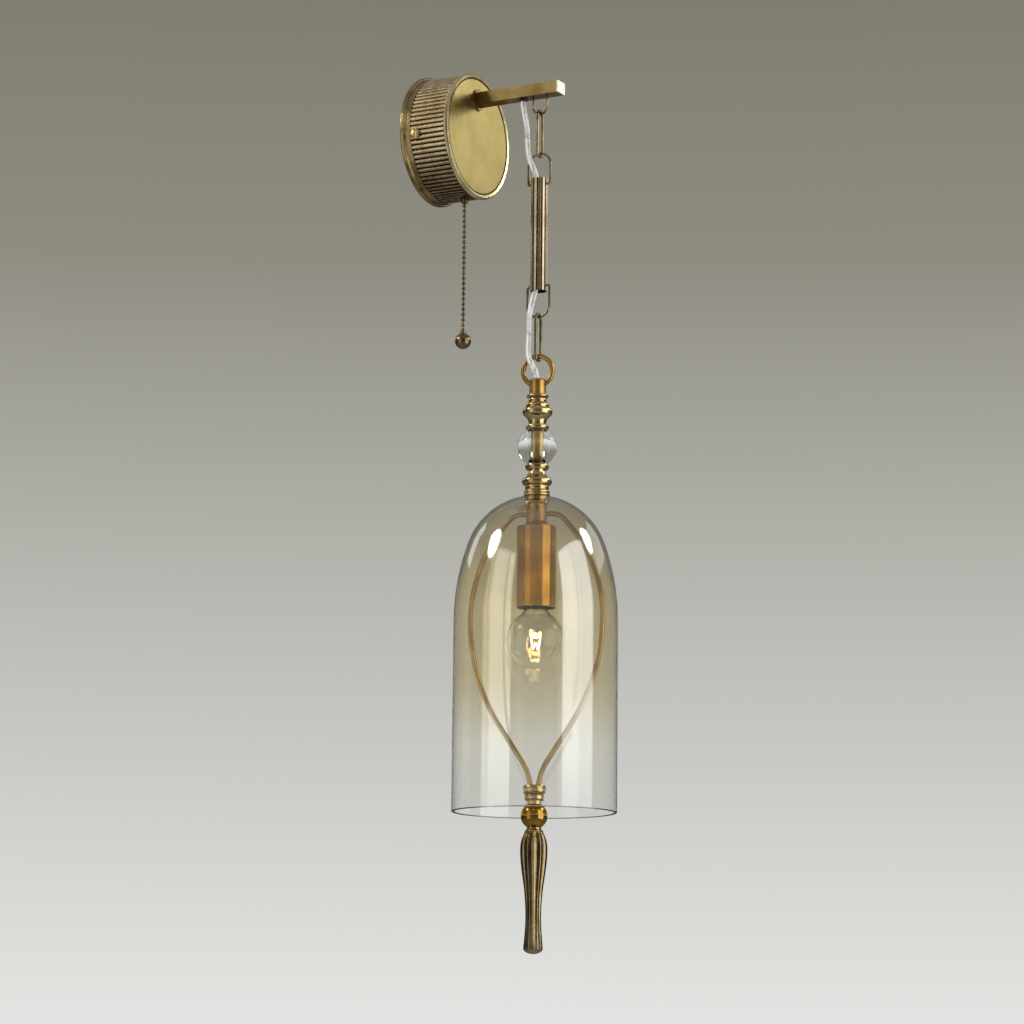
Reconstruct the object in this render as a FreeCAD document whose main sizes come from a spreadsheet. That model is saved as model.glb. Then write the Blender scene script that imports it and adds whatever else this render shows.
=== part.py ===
import FreeCAD, Part
import math
import os
import Sketcher

# A hanging wall lantern in aged brass. A ribbed round canopy carries a square arm; from the arm's hook
# hang a link, a fluted tube, a second link and the lantern: turned column with a glass ball, smoked glass
# shade, lampholder with bulb, and two bent wires that hold a finial below the shade. A pull chain with a
# ball works the switch in the canopy.
# Row frame in millimetres: the wall is the plane Y = 0, the light stands out towards -Y, +X is to the
# right of someone facing the wall, +Z is up. The origin is the canopy's centre on the wall.

V = FreeCAD.Vector
doc = FreeCAD.newDocument("wall_lantern")
os.makedirs("parts", exist_ok=True)


class Size:
    """A length that keeps its number, for drawing, beside its formula, for binding."""

    def __init__(self, number, formula):
        self.number = float(number)
        self.formula = formula

    def joined(self, other, sign, swap, number):
        first, second = (other, self) if swap else (self, other)
        return Size(number, "(%s %s %s)" % (first.formula, sign, second.formula))

    def __add__(self, other):
        other = as_size(other)
        return self.joined(other, "+", False, self.number + other.number)

    def __radd__(self, other):
        return as_size(other) + self

    def __sub__(self, other):
        other = as_size(other)
        return self.joined(other, "-", False, self.number - other.number)

    def __rsub__(self, other):
        return as_size(other) - self

    def __mul__(self, other):
        other = as_size(other)
        return self.joined(other, "*", False, self.number * other.number)

    def __rmul__(self, other):
        return as_size(other) * self

    def __truediv__(self, other):
        other = as_size(other)
        return self.joined(other, "/", False, self.number / other.number)

    def __neg__(self):
        return as_size(0) - self

    def root(self):
        return Size(math.sqrt(self.number), "sqrt(%s)" % self.formula)


def as_size(value):
    return value if isinstance(value, Size) else Size(value, repr(value))


# ---------------------------------------------------------------- driving dimensions
DIMENSIONS = {
    # fits
    "fit": (0.05, "radial play of a piece that is pushed or screwed into another"),
    "run_gap": (0.25, "play between two hanging wires"),
    # canopy, measured out from the wall
    "flange_radius": (52.2, "back flange"),
    "flange_depth": (4.0, "back flange's thickness"),
    "flange_edge": (1.0, "rounding of the back flange"),
    "base_band_radius": (50.3, "smooth band in front of the flange"),
    "base_cove": (0.7, "cove between flange and band"),
    "base_depth": (8.6, "wall to the ribs"),
    "rib_radius": (50.0, "crest of the ribs"),
    "rib_depth": (1.0, "crest to root"),
    "rib_count": (80, "ribs round the drum"),
    "rib_run": (30.4, "length of the ribs"),
    "sleeve_radius": (48.8, "plain ends of the drum"),
    "sleeve_wall": (0.8, "sheet of the drum"),
    "sleeve_setback": (0.4, "drum's back edge to the wall"),
    "rim_radius": (50.9, "front rim"),
    "rim_depth": (3.9, "front rim's length"),
    "rim_lip_radius": (47.4, "front rim's opening"),
    "rim_lip": (1.9, "thickness of the lip"),
    "rim_back_run": (1.2, "length of the rim's rounded back"),
    "rim_back_bend": (1.75, "its arc"),
    "rim_nose_in": (1.5, "rim's outside to its front edge"),
    "rim_nose_bend": (3.8, "arc of the front edge"),
    "rim_bevel": (0.5, "slope from the front edge to the opening"),
    "plate_gap": (0.5, "dark line round the face plate"),
    "plate_thick": (2.4, "face plate with its flange"),
    "plate_flange": (1.4, "flange behind the lip"),
    # bracket
    "bracket_drop": (7.0, "bracket's centre line below the canopy's centre"),
    "bracket_width": (18.0, "bracket strip"),
    "bracket_thick": (1.5, "bracket sheet"),
    "ear_reach": (18.5, "ears' length out from the wall"),
    "ear_play": (0.5, "drum's bore to the ears' corners"),
    "wall_slot_spacing": (60.0, "between the wall screws"),
    "wall_slot_length": (12.0, "end to end"),
    "wall_slot_width": (4.5, "for a 4 mm screw"),
    "cable_hole_radius": (5.0, "supply cable's way in"),
    "side_screw_out": (13.5, "side screws, out from the wall"),
    "side_screw_shank": (2.0, "radius"),
    "side_screw_length": (7.5, "under the head"),
    "side_screw_head": (4.25, "radius"),
    "side_screw_dome": (1.9, "height of the head"),
    "side_screw_rim": (1.0, "the head's upright rim"),
    "side_screw_bend": (6.4, "the dome's arc"),
    "screw_slot_width": (1.0, "driver slot"),
    "screw_slot_depth": (1.1, "driver slot"),
    "terminal_length": (11.0, "terminal block along the bracket"),
    "terminal_width": (11.0, "terminal block across it"),
    "terminal_height": (12.0, "terminal block out from it"),
    "terminal_bore": (1.9, "wire hole's radius"),
    "terminal_shift": (14.0, "block's middle from the centre"),
    # arm
    "arm_level": (29.8, "arm's axis above the canopy's centre"),
    "arm_width": (12.0, "along X"),
    "arm_height": (9.5, "along Z"),
    "arm_wall": (1.2, "square tube's wall"),
    "arm_past_hook": (17.8, "hook's axis to the tube's open end"),
    "arm_disc_radius": (8.7, "round flange on the face plate"),
    "arm_disc_thick": (1.5, "round flange"),
    "arm_spigot": (9.0, "spigot inside the tube"),
    "arm_stud_radius": (5.0, "hollow stud through the face plate"),
    "arm_stud_length": (12.0, "hollow stud"),
    "arm_cap_thick": (1.2, "end cap outside the tube"),
    "arm_cap_spigot": (4.0, "end cap inside the tube"),
    "stud_nut_flats": (14.0, "nut on the stud, across flats"),
    "stud_nut_thick": (3.5, "nut on the stud"),
    # cord
    "cord_radius": (2.2, "twin flex, half its width"),
    "cord_play": (0.35, "cord's way through a bore"),
    "bush_setback": (15.3, "hook's axis back to the cord bush"),
    "bush_radius": (3.4, "bush outside the arm"),
    "bush_neck": (3.0, "bush in the arm's floor"),
    "bush_edge": (0.6, "chamfer of the bush"),
    "bush_bore": (2.5, "cord's way through the bush"),
    "cord_arm_turn": (10.5, "bush back to where the cord lies straight in the arm"),
    "bush_drop": (2.0, "bush below the arm"),
    "cord_arm_start": (31.0, "cord's inner end, out from the wall"),
    # hook and links
    "hook_out": (98.5, "the lantern's axis, out from the wall"),
    "hook_drop": (14.55, "arm's underside to the hook's lowest centre line"),
    "hook_bend": (6.1, "hook's bend, centre line"),
    "hook_wire": (0.95, "wire radius"),
    "link_wire": (1.2, "wire radius"),
    "link_pitch": (37.2, "between the centre lines of a link's two ends"),
    "link_half": (4.1, "half a link's width, centre line"),
    "bail_wire": (1.0, "wire radius"),
    "bail_half": (9.8, "half a bail's width, centre line"),
    "bail_rise": (20.85, "tube's end to the bail's top"),
    "bail_foot": (4.2, "the bail's feet, from the tube's end"),
    "bail_bend": (1.8, "bend at a foot"),
    "tube_radius": (6.75, "fluted tube, crest"),
    "tube_wall": (1.15, "fluted tube"),
    "tube_length": (90.9, "fluted tube"),
    "tube_flutes": (12, "flutes round the tube"),
    "tube_flute_depth": (0.45, "flutes"),
    "tube_flute_radius": (1.5, "tool that cuts the flutes"),
    # loop and column, from the top
    "loop_radius": (11.7, "ring's centre line"),
    "loop_wire": (1.9, "wire radius"),
    "neck_radius": (6.6, "neck under the ring"),
    "neck_sink": (6.75, "ring's centre to the neck's top"),
    "neck_height": (12.4, "neck"),
    "neck_edge": (0.8, "neck's rounding"),
    "stem_radius": (4.9, "threaded stem"),
    "stem_bore": (3.1, "cord's way through the stem"),
    "stem_grip": (8.0, "stem inside the loop's neck"),
    "collar_disc_radius": (8.6, "thin disc under the neck"),
    "collar_disc_height": (2.3, "thin disc"),
    "collar_bead_radius": (7.0, "bead under the disc"),
    "collar_bead_height": (4.5, "bead"),
    "bead_proud": (0.9, "how far a bead swells past its edges"),
    "vase_step_radius": (8.97, "step over the wide disc"),
    "vase_step_height": (4.3, "step"),
    "vase_disc_radius": (11.7, "wide disc"),
    "vase_disc_height": (5.2, "wide disc"),
    "vase_cove_height": (7.5, "cove under the wide disc"),
    "vase_waist_radius": (6.6, "narrow end of the cove"),
    "vase_bead_radius": (8.96, "bead on the glass ball"),
    "vase_bead_height": (4.0, "bead"),
    "cove_bend": (9.0, "hollow of the coves"),
    "ball_radius": (15.4, "glass ball"),
    "ball_height": (27.0, "glass ball between its flats"),
    "ball_play": (0.3, "glass ball's bore round the core tube"),
    "base_bead_radius": (9.2, "bead under the glass ball"),
    "base_bead_height": (4.7, "bead"),
    "base_waist_radius": (6.6, "waist under it"),
    "base_waist_height": (7.1, "waist"),
    "base_disc_radius": (11.65, "disc"),
    "base_disc_height": (4.8, "disc"),
    "base_foot_radius": (9.3, "foot bead"),
    "base_foot_height": (4.8, "foot bead"),
    "cap_ring_radius": (10.1, "ringed washer on the shade"),
    "cap_ring_height": (4.3, "ringed washer"),
    # shade
    "shade_radius": (63.3, "outside"),
    "shade_height": (243.8, "top of the glass to its rim"),
    "shade_wall": (2.2, "glass"),
    "shade_lip_bend": (1.2, "rounding of the glass's rim"),
    "shade_hole": (5.4, "hole's radius"),
    "shade_flat": (10.5, "flat seat round the hole"),
    "crown_radius": (56.0, "crown's arc, outside"),
    "shoulder_level": (96.2, "top of the glass to the straight wall"),
    "gasket_radius": (9.6, "rubber ring under the glass"),
    "gasket_thick": (0.6, "rubber ring"),
    # hub and wires
    "hub_bead_radius": (10.0, "hub's top bead"),
    "hub_bead_height": (2.6, "hub's top bead"),
    "hub_radius": (8.15, "hub's neck"),
    "hub_neck_height": (13.0, "hub's neck"),
    "hub_foot_radius": (10.1, "hub's flared foot"),
    "hub_foot_height": (4.8, "hub's flared foot"),
    "lantern_turn": (14.0, "degrees that ring and wires stand round from the arm's line"),
    "frame_wire": (2.0, "wire radius"),
    "frame_level": (10.4, "hub's top to the wires"),
    "frame_grip": (2.6, "wire inside the hub"),
    "frame_top_bend": (12.0, "first bend"),
    "frame_top_turn": (46.1, "degrees"),
    "frame_top_out": (12.6, "axis to the first bend"),
    "frame_side_bend": (113.0, "long side bend"),
    "frame_low_bend": (150.0, "bend back in"),
    "frame_low_turn": (33.5, "degrees"),
    "frame_low_run": (32.3, "straight run towards the finial"),
    "frame_foot_bend": (42.0, "last bend"),
    "frame_foot_turn": (27.5, "degrees"),
    "frame_foot_grip": (4.5, "wire inside the finial's collar"),
    # lampholder
    "cup_radius": (15.45, "lampholder's cover"),
    "cup_height": (63.5, "cover"),
    "cup_wall": (0.9, "cover"),
    "cup_top": (1.3, "cover's top"),
    "cup_edge": (0.9, "cover's top edge"),
    "lock_nut_flats": (15.0, "nut inside the cover, across flats"),
    "lock_nut_thick": (3.0, "nut inside the cover"),
    "holder_radius": (13.4, "insulating body"),
    "holder_height": (52.0, "insulating body"),
    "holder_top_gap": (0.6, "nut to the insulating body"),
    "holder_stem_grip": (5.0, "stem inside the insulating body"),
    "socket_depth": (27.0, "bulb socket"),
    "socket_radius": (7.9, "bulb socket"),
    "wire_room_radius": (8.5, "wiring space over the socket"),
    "wire_room_height": (12.0, "wiring space"),
    "shell_wall": (0.4, "screw shell"),
    "shell_height": (24.0, "screw shell"),
    "contact_radius": (3.0, "centre contact"),
    "contact_thick": (0.8, "centre contact"),
    # bulb
    "bulb_radius": (22.5, "bulb's ball"),
    "bulb_drop": (88.4, "cover's top to the ball's centre"),
    "bulb_glass": (0.8, "bulb's glass"),
    "bulb_neck_radius": (8.3, "bulb's neck"),
    "bulb_neck_rise": (31.0, "ball's centre to the neck's top"),
    "bulb_shoulder": (10.0, "hollow between neck and ball"),
    "bulb_cap_radius": (7.35, "bulb's screw cap"),
    "bulb_cap_wall": (0.4, "bulb's screw cap"),
    "bulb_cap_tip": (4.0, "cone between the cap's thread and its contact"),
    "bulb_press_thick": (1.5, "glass disc that closes the neck"),
    "bulb_stem_radius": (2.2, "glass stem in the bulb"),
    "bulb_stem_length": (26.0, "glass stem in the bulb"),
    "filament_half": (9.0, "half the filament's width"),
    "filament_rise": (9.0, "height of its zigzag"),
    "filament_wire": (0.45, "filament's radius"),
    # finial
    "foot_collar_radius": (9.2, "first ring of the collar"),
    "foot_collar_height": (6.6, "first ring"),
    "foot_ring_radius": (7.65, "second ring"),
    "foot_ring_height": (5.4, "second ring"),
    "foot_neck_radius": (5.5, "neck on the finial's ball"),
    "foot_neck_height": (2.5, "neck"),
    "finial_ball_radius": (10.3, "finial's ball"),
    "finial_ball_height": (17.2, "ball between its flats"),
    "drop_ring_radius": (5.7, "ring over the drop"),
    "drop_ring_height": (2.3, "ring over the drop"),
    "drop_top_radius": (6.0, "top of the fluted drop"),
    "drop_belly_radius": (10.5, "widest part"),
    "drop_belly_level": (13.6, "below the drop's top"),
    "drop_waist_radius": (5.9, "narrowest part"),
    "drop_waist_level": (65.0, "below the drop's top"),
    "drop_foot_radius": (7.5, "foot of the drop"),
    "drop_end_height": (4.2, "rounded end under the foot"),
    "drop_length": (93.7, "the whole drop"),
    "drop_flutes": (12, "flutes"),
    "drop_flute_depth": (0.85, "flutes"),
    "drop_flute_radius": (1.75, "tool that cuts the flutes"),
    "finial_stud_radius": (2.0, "threaded stud"),
    "finial_stud_grip": (8.0, "stud inside collar and drop"),
    # pull switch
    "pull_out": (30.5, "pull chain, out from the wall"),
    "ferrule_radius": (2.9, "ferrule through the drum"),
    "ferrule_bore": (1.9, "ferrule's bore"),
    "ferrule_drop": (3.6, "ferrule below the drum"),
    "ferrule_grip": (3.0, "ferrule inside the switch"),
    "switch_lift": (4.0, "drum's inside to the switch"),
    "switch_width": (24.0, "switch along X"),
    "switch_depth": (13.0, "switch along Y"),
    "switch_height": (20.0, "switch along Z"),
    "ferrule_nut_flats": (9.0, "nut inside the drum, across flats"),
    "ferrule_nut_thick": (3.3, "nut inside the drum"),
    "plunger_radius": (1.5, "plunger that carries the chain"),
    "plunger_head_radius": (3.0, "plunger's head"),
    "plunger_head_height": (2.5, "plunger's head"),
    "plunger_play": (0.1, "plunger's head in its bore"),
    "switch_spring_length": (10.0, "return spring at rest"),
    "plunger_tip": (0.5, "plunger's end below the ferrule"),
    "first_bead": (2.0, "plunger's end to the first bead's centre"),
    "bead_radius": (1.6, "chain bead"),
    "bead_pitch": (4.23, "between beads"),
    "bead_wire": (0.5, "wire between beads, radius"),
    "upper_beads": (12, "beads above the chain's middle joint"),
    "lower_beads": (13, "beads below it"),
    "chain_gap": (0.3, "play at a chain joint"),
    "pull_ball_radius": (6.4, "ball at the end"),
    "pull_cap_radius": (2.6, "small cap on the ball"),
    "pull_cap_height": (1.6, "small cap"),
}

sheet = doc.addObject("Spreadsheet::Sheet", "Sizes")
for row, (alias, (value, note)) in enumerate(DIMENSIONS.items(), start=1):
    sheet.set("A%d" % row, alias)
    sheet.set("B%d" % row, str(value))
    sheet.set("C%d" % row, note)
    sheet.setAlias("B%d" % row, alias)
doc.recompute()

D = {alias: Size(sheet.get(alias), "Sizes." + alias) for alias in DIMENSIONS}
N = {alias: size.number for alias, size in D.items()}


# ---------------------------------------------------------------- how the pieces are made
def bind(thing, path, size):
    """Give a property its value, and its formula where the value comes from the sheet."""
    size = as_size(size)
    if "Sizes." in size.formula:
        thing.setExpression(path, size.formula)
        return
    holder, _, name = path.rpartition(".")
    if holder.startswith("Placement.Base"):
        raise ValueError("a bare place: " + path)
    setattr(thing, name or path, size.number)


def place(thing, x=0, y=0, z=0, rotation=None):
    """Set a piece down with its own origin at (x, y, z) of the row frame."""
    spots = [as_size(value) for value in (x, y, z)]
    base = V(*[spot.number for spot in spots])
    thing.Placement = FreeCAD.Placement(base, rotation or FreeCAD.Rotation())
    for axis, spot in zip("xyz", spots):
        if "Sizes." in spot.formula:
            thing.setExpression("Placement.Base." + axis, spot.formula)
    return thing


RIGHT, INWARD, UP = V(1, 0, 0), V(0, 1, 0), V(0, 0, 1)
LEFT, OUTWARD, DOWN = -RIGHT, -INWARD, -UP
OUT_FROM_WALL = FreeCAD.Rotation(RIGHT, 90)
TO_LEFT = FreeCAD.Rotation(INWARD, -90)
TO_RIGHT = FreeCAD.Rotation(INWARD, 90)


def arc_between(start, end, radius):
    """The centre and the two angles of the arc from start to end. Its bulge lies to the right of the
    way from start to end, or to the left where the radius is negative."""
    chord = end - start
    left = V(-chord.y, chord.x, 0).normalize()
    rise = math.sqrt(max(radius * radius - chord.Length**2 / 4, 0))
    centre = (start + end) / 2 + left * math.copysign(rise, radius)
    first, last = (start, end) if radius > 0 else (end, start)
    angles = [math.atan2(p.y - centre.y, p.x - centre.x) for p in (first, last)]
    if angles[1] < angles[0]:
        angles[1] += 2 * math.pi
    return centre, angles


def draw_outline(sketch, corners):
    """A closed outline of (x, y) corners, the inside on the left. A third value makes the edge that
    leaves a corner an arc: its radius, negative where the edge is hollow."""
    corners = [tuple(as_size(value) for value in corner) for corner in corners]
    edges, ends = [], []
    for corner, following in zip(corners, corners[1:] + corners[:1]):
        start = V(corner[0].number, corner[1].number, 0)
        end = V(following[0].number, following[1].number, 0)
        if len(corner) == 2:
            edges.append(Part.LineSegment(start, end))
            ends.append((1, 2))
            continue
        radius = corner[2].number
        centre, angles = arc_between(start, end, radius)
        circle = Part.Circle(centre, V(0, 0, 1), abs(radius))
        edges.append(Part.ArcOfCircle(circle, *angles))
        ends.append((1, 2) if radius > 0 else (2, 1))
    sketch.addGeometry(edges, False)
    rules, formulas = [], []

    def rule(kind, *where, size=None):
        if size is None:
            rules.append(Sketcher.Constraint(kind, *where))
            return
        rules.append(Sketcher.Constraint(kind, *where, size.number))
        if "Sizes." in size.formula:
            formulas.append((len(rules) - 1, size.formula))

    for index, corner in enumerate(corners):
        before = (index - 1) % len(corners)
        rule("Coincident", before, ends[before][1], index, ends[index][0])
        for kind, axis, size in (("DistanceX", -2, corner[0]), ("DistanceY", -1, corner[1])):
            if size.formula == "0":
                rule("PointOnObject", index, ends[index][0], axis)
            else:
                rule(kind, -1, 1, index, ends[index][0], size=size)
        if len(corner) == 3:
            bend = corner[2] if corner[2].number > 0 else -corner[2]
            rule("Radius", index, size=bend)
    sketch.addConstraint(rules)
    for index, formula in formulas:
        sketch.setExpression("Constraints[%d]" % index, formula)


def new_body(name, plane, corners):
    """A body with one outline sketched on one of its own origin planes."""
    body = doc.addObject("PartDesign::Body", name)
    sketch = body.newObject("Sketcher::SketchObject", name + "_outline")
    support = next(f for f in body.Origin.OriginFeatures if f.Role == plane)
    sketch.AttachmentSupport = (support, [""])
    sketch.MapMode = "FlatFace"
    draw_outline(sketch, corners)
    doc.recompute()
    return body, sketch


def turned(name, corners):
    """A lathe-turned piece: an outline of (radius, height) corners spun about its own Z axis."""
    body, sketch = new_body(name, "XZ_Plane", corners)
    spin = body.newObject("PartDesign::Revolution", name + "_turning")
    spin.Profile = sketch
    spin.ReferenceAxis = (sketch, ["V_Axis"])
    spin.Angle = 360
    sketch.Visibility = False
    return body


def extruded(name, plane, corners, length):
    """A prism on an outline, half of its length to either side of the plane."""
    body, sketch = new_body(name, plane, corners)
    pad = body.newObject("PartDesign::Pad", name + "_pad")
    pad.Profile = sketch
    pad.SideType = "Symmetric"
    bind(pad, "Length", length)
    return body


def rod(name, radius, length, bore=None):
    """A round rod standing on its own origin, or a tube where it has a bore."""
    if bore is not None:
        return turned(name, [(bore, 0), (radius, 0), (radius, length), (bore, length)])
    solid = doc.addObject("Part::Cylinder", name)
    bind(solid, "Radius", radius)
    bind(solid, "Height", length)
    return solid


def block(name, length, width, height):
    """A box centred on its own origin."""
    return extruded(name, "XY_Plane", rectangle(length, width), height)


def rectangle(width, height):
    """The corners of a rectangle about the origin."""
    half_w, half_h = as_size(width) / 2, as_size(height) / 2
    return [(-half_w, -half_h), (half_w, -half_h), (half_w, half_h), (-half_w, half_h)]


def joined(name, *solids):
    fuse = doc.addObject("Part::MultiFuse", name)
    fuse.Shapes = list(solids)
    fuse.Refine = True
    return fuse


def cut(name, solid, *tools):
    """A solid less one or more tools."""
    result = doc.addObject("Part::Cut", name)
    result.Base = solid
    result.Tool = tools[0] if len(tools) == 1 else grouped(name + "_tools", *tools)
    result.Refine = True
    return result


def grouped(name, *solids):
    """Separate solids kept together as one object."""
    group = doc.addObject("Part::Compound", name)
    group.Links = list(solids)
    return group


def hexagon(name, flats, thick, bore):
    """A nut about its own Z axis, standing on its origin."""
    prism = doc.addObject("Part::Prism", name + "_prism")
    prism.Polygon = 6
    bind(prism, "Circumradius", flats / math.sqrt(3))
    bind(prism, "Height", thick)
    return cut(name, prism, rod(name + "_hole", bore, thick))


def bead_bend(height, proud):
    """The radius of an arc that swells by proud over a chord of this height."""
    return (height * height / 4 + proud * proud) / (2 * proud)


def shaped(name, shape):
    """A piece whose shape is worked out here."""
    piece = doc.addObject("Part::Feature", name)
    piece.Shape = shape
    return piece


class WirePath:
    """A path in one plane, laid out as straight runs and tangent bends."""

    def __init__(self, start, heading, across, up):
        self.place, self.heading = start, math.radians(heading)
        self.across, self.up, self.edges = across, up, []

    def way(self, angle):
        return self.across * math.cos(angle) + self.up * math.sin(angle)

    def run(self, length):
        end = self.place + self.way(self.heading) * length
        self.edges.append(Part.LineSegment(self.place, end).toShape())
        self.place = end
        return self

    def bend(self, radius, degrees):
        """Turn left by an angle, or right where it is negative."""
        turn = math.radians(degrees)
        side = math.copysign(math.pi / 2, degrees)
        centre = self.place + self.way(self.heading + side) * radius
        spots = [centre - self.way(self.heading + side + turn * part) * radius for part in (0.5, 1)]
        self.edges.append(Part.Arc(self.place, *spots).toShape())
        self.place, self.heading = spots[1], self.heading + turn
        return self


def wire_solid(edges, radius):
    """Round wire along tangent edges."""
    path = Part.Wire(edges)
    start = edges[0].valueAt(edges[0].FirstParameter)
    heading = edges[0].tangentAt(edges[0].FirstParameter)
    section = Part.Wire([Part.Circle(start, heading, radius).toShape()])
    solid = path.makePipeShell([section], True, False)
    expected = math.pi * radius**2 * path.Length
    if abs(solid.Volume - expected) > 0.02 * expected:
        raise ValueError("a wire's volume is off: %.1f for %.1f" % (solid.Volume, expected))
    return solid


def rounded_route(name, points, share=0.45):
    """Straight runs through the points, each corner an arc that takes this share of its shorter run."""
    edges, at, radii = [], points[0], []
    for index in range(1, len(points) - 1):
        before, corner, after = points[index - 1 : index + 2]
        incoming, outgoing = corner - before, after - corner
        turn = incoming.getAngle(outgoing)
        radius = share * min(incoming.Length, outgoing.Length) / math.tan(turn / 2)
        reach = radius * math.tan(turn / 2)
        first = corner - incoming.normalize() * reach
        last = corner + outgoing.normalize() * reach
        inward = (outgoing - incoming).normalize()
        middle = corner + inward * (radius / math.cos(turn / 2) - radius)
        edges.append(Part.LineSegment(at, first).toShape())
        edges.append(Part.Arc(first, middle, last).toShape())
        radii.append(radius)
        at = last
    edges.append(Part.LineSegment(at, points[-1]).toShape())
    print(name, "bends:", " ".join("%.1f" % radius for radius in radii))
    return edges


nodes = []


def keep(piece, name=None):
    """Take a finished piece into the hand-in under its node name."""
    piece.Label = name or piece.Name
    nodes.append(piece)
    return piece


# ---------------------------------------------------------------- bracket on the wall
bracket_z = -D["bracket_drop"]
bore_radius = D["sleeve_radius"] - D["sleeve_wall"]
ear_low = D["bracket_width"] / 2 + D["bracket_drop"]
ear_face = (bore_radius * bore_radius - ear_low * ear_low).root() - D["ear_play"]
ear_inside = ear_face - D["bracket_thick"]

strip_corners = [
    (-ear_face, 0),
    (-ear_face, -D["ear_reach"]),
    (-ear_inside, -D["ear_reach"]),
    (-ear_inside, -D["bracket_thick"]),
    (ear_inside, -D["bracket_thick"]),
    (ear_inside, -D["ear_reach"]),
    (ear_face, -D["ear_reach"]),
    (ear_face, 0),
]
strip = place(extruded("bracket_strip", "XY_Plane", strip_corners, D["bracket_width"]), z=bracket_z)


def wall_slot(name, way):
    """A slot along X for one wall screw, to the left (-1) or the right (1)."""
    half, deep = D["wall_slot_width"] / 2, D["bracket_thick"] * 2
    reach, centre = D["wall_slot_length"] / 2 - half, D["wall_slot_spacing"] / 2 * way
    middle = extruded(name + "_middle", "XZ_Plane", rectangle(reach * 2, half * 2), deep * 2)
    pieces = [place(middle, x=centre, z=bracket_z)]
    for word, end in (("_left", -1), ("_right", 1)):
        round_end = rod(name + word, half, deep * 2)
        pieces.append(place(round_end, centre + reach * end, deep, bracket_z, OUT_FROM_WALL))
    return joined(name, *pieces)


ear_hole = rod("ear_hole", D["side_screw_shank"] + D["fit"], 2 * ear_face + 2)
place(ear_hole, x=-ear_face - 1, y=-D["side_screw_out"], z=bracket_z, rotation=TO_RIGHT)
cable_hole = rod("cable_hole", D["cable_hole_radius"], D["bracket_thick"] * 4)
place(cable_hole, y=D["bracket_thick"], z=bracket_z, rotation=OUT_FROM_WALL)
wall_slots = wall_slot("wall_slot_left", -1), wall_slot("wall_slot_right", 1)
keep(cut("mounting_bracket", strip, *wall_slots, ear_hole, cable_hole))

terminal = block("terminal_body", D["terminal_length"], D["terminal_width"], D["terminal_height"])
terminal_y = -D["bracket_thick"] - D["terminal_height"] / 2
place(terminal, D["terminal_shift"], terminal_y, bracket_z, OUT_FROM_WALL)
terminal_bores = []
for name, way in (("terminal_bore_inner", -1), ("terminal_bore_outer", 1)):
    bore = rod(name, D["terminal_bore"], D["terminal_width"] * 2)
    bore_x = D["terminal_shift"] + D["terminal_length"] / 4 * way
    terminal_bores.append(place(bore, bore_x, terminal_y, bracket_z - D["terminal_width"]))
keep(cut("terminal_block", terminal, *terminal_bores))

# ---------------------------------------------------------------- canopy
ring_bore = D["sleeve_radius"] + D["fit"]
base_ring = turned(
    "canopy_base_ring",
    [
        (ring_bore, 0),
        (D["flange_radius"] - D["flange_edge"], 0, D["flange_edge"]),
        (D["flange_radius"], D["flange_edge"]),
        (D["flange_radius"], D["flange_depth"] - D["flange_edge"], D["flange_edge"]),
        (D["flange_radius"] - D["flange_edge"], D["flange_depth"]),
        (D["base_band_radius"] + D["base_cove"], D["flange_depth"], -D["base_cove"]),
        (D["base_band_radius"], D["flange_depth"] + D["base_cove"]),
        (D["base_band_radius"], D["base_depth"]),
        (ring_bore, D["base_depth"]),
    ],
)
keep(place(base_ring, rotation=OUT_FROM_WALL))

rib_start = N["base_depth"]


def ribbed_ring():
    """The drum's middle: half-round ribs side by side, let into the sleeve by half its wall."""
    count = int(N["rib_count"])
    step = 2 * math.pi / count
    root, crest = N["rib_radius"] - N["rib_depth"], N["rib_radius"]

    def spot(radius, angle):
        return V(radius * math.cos(angle), radius * math.sin(angle), rib_start)

    arcs = []
    for rib in range(count):
        angle = rib * step
        arcs.append(Part.Arc(spot(root, angle), spot(crest, angle + step / 2), spot(root, angle + step)))
    outside = Part.Wire([arc.toShape() for arc in arcs])
    middle = N["sleeve_radius"] - N["sleeve_wall"] / 2
    inside = Part.makeCylinder(middle, N["rib_run"], V(0, 0, rib_start))
    return Part.Face(outside).extrude(V(0, 0, N["rib_run"])).cut(inside)


ribs = place(shaped("ribbed_ring", ribbed_ring()), rotation=OUT_FROM_WALL)
lip_back = D["rim_depth"] - D["rim_lip"]
lip_out = D["base_depth"] + D["rib_run"] + lip_back
sleeve = rod("drum_sleeve", D["sleeve_radius"], lip_out - D["sleeve_setback"], bore_radius)
place(sleeve, y=-D["sleeve_setback"], rotation=OUT_FROM_WALL)
screw_holes = rod("drum_screw_holes", D["side_screw_shank"] + D["fit"] * 4, D["flange_radius"] * 2)
place(screw_holes, -D["flange_radius"], -D["side_screw_out"], bracket_z, TO_RIGHT)
ferrule_hole = rod("drum_ferrule_hole", D["ferrule_radius"] + D["fit"], D["flange_radius"])
place(ferrule_hole, y=-D["pull_out"], z=-D["flange_radius"])
keep(cut("canopy_drum", joined("drum_blank", ribs, sleeve), screw_holes, ferrule_hole))

front_rim = turned(
    "canopy_front_rim",
    [
        (ring_bore, 0),
        (D["rib_radius"], 0, D["rim_back_bend"]),
        (D["rim_radius"], D["rim_back_run"], D["rim_nose_bend"]),
        (D["rim_radius"] - D["rim_nose_in"], D["rim_depth"]),
        (D["rim_lip_radius"], D["rim_depth"] - D["rim_bevel"]),
        (D["rim_lip_radius"], lip_back),
        (ring_bore, lip_back),
    ],
)
keep(place(front_rim, y=-(D["base_depth"] + D["rib_run"]), rotation=OUT_FROM_WALL))

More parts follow.
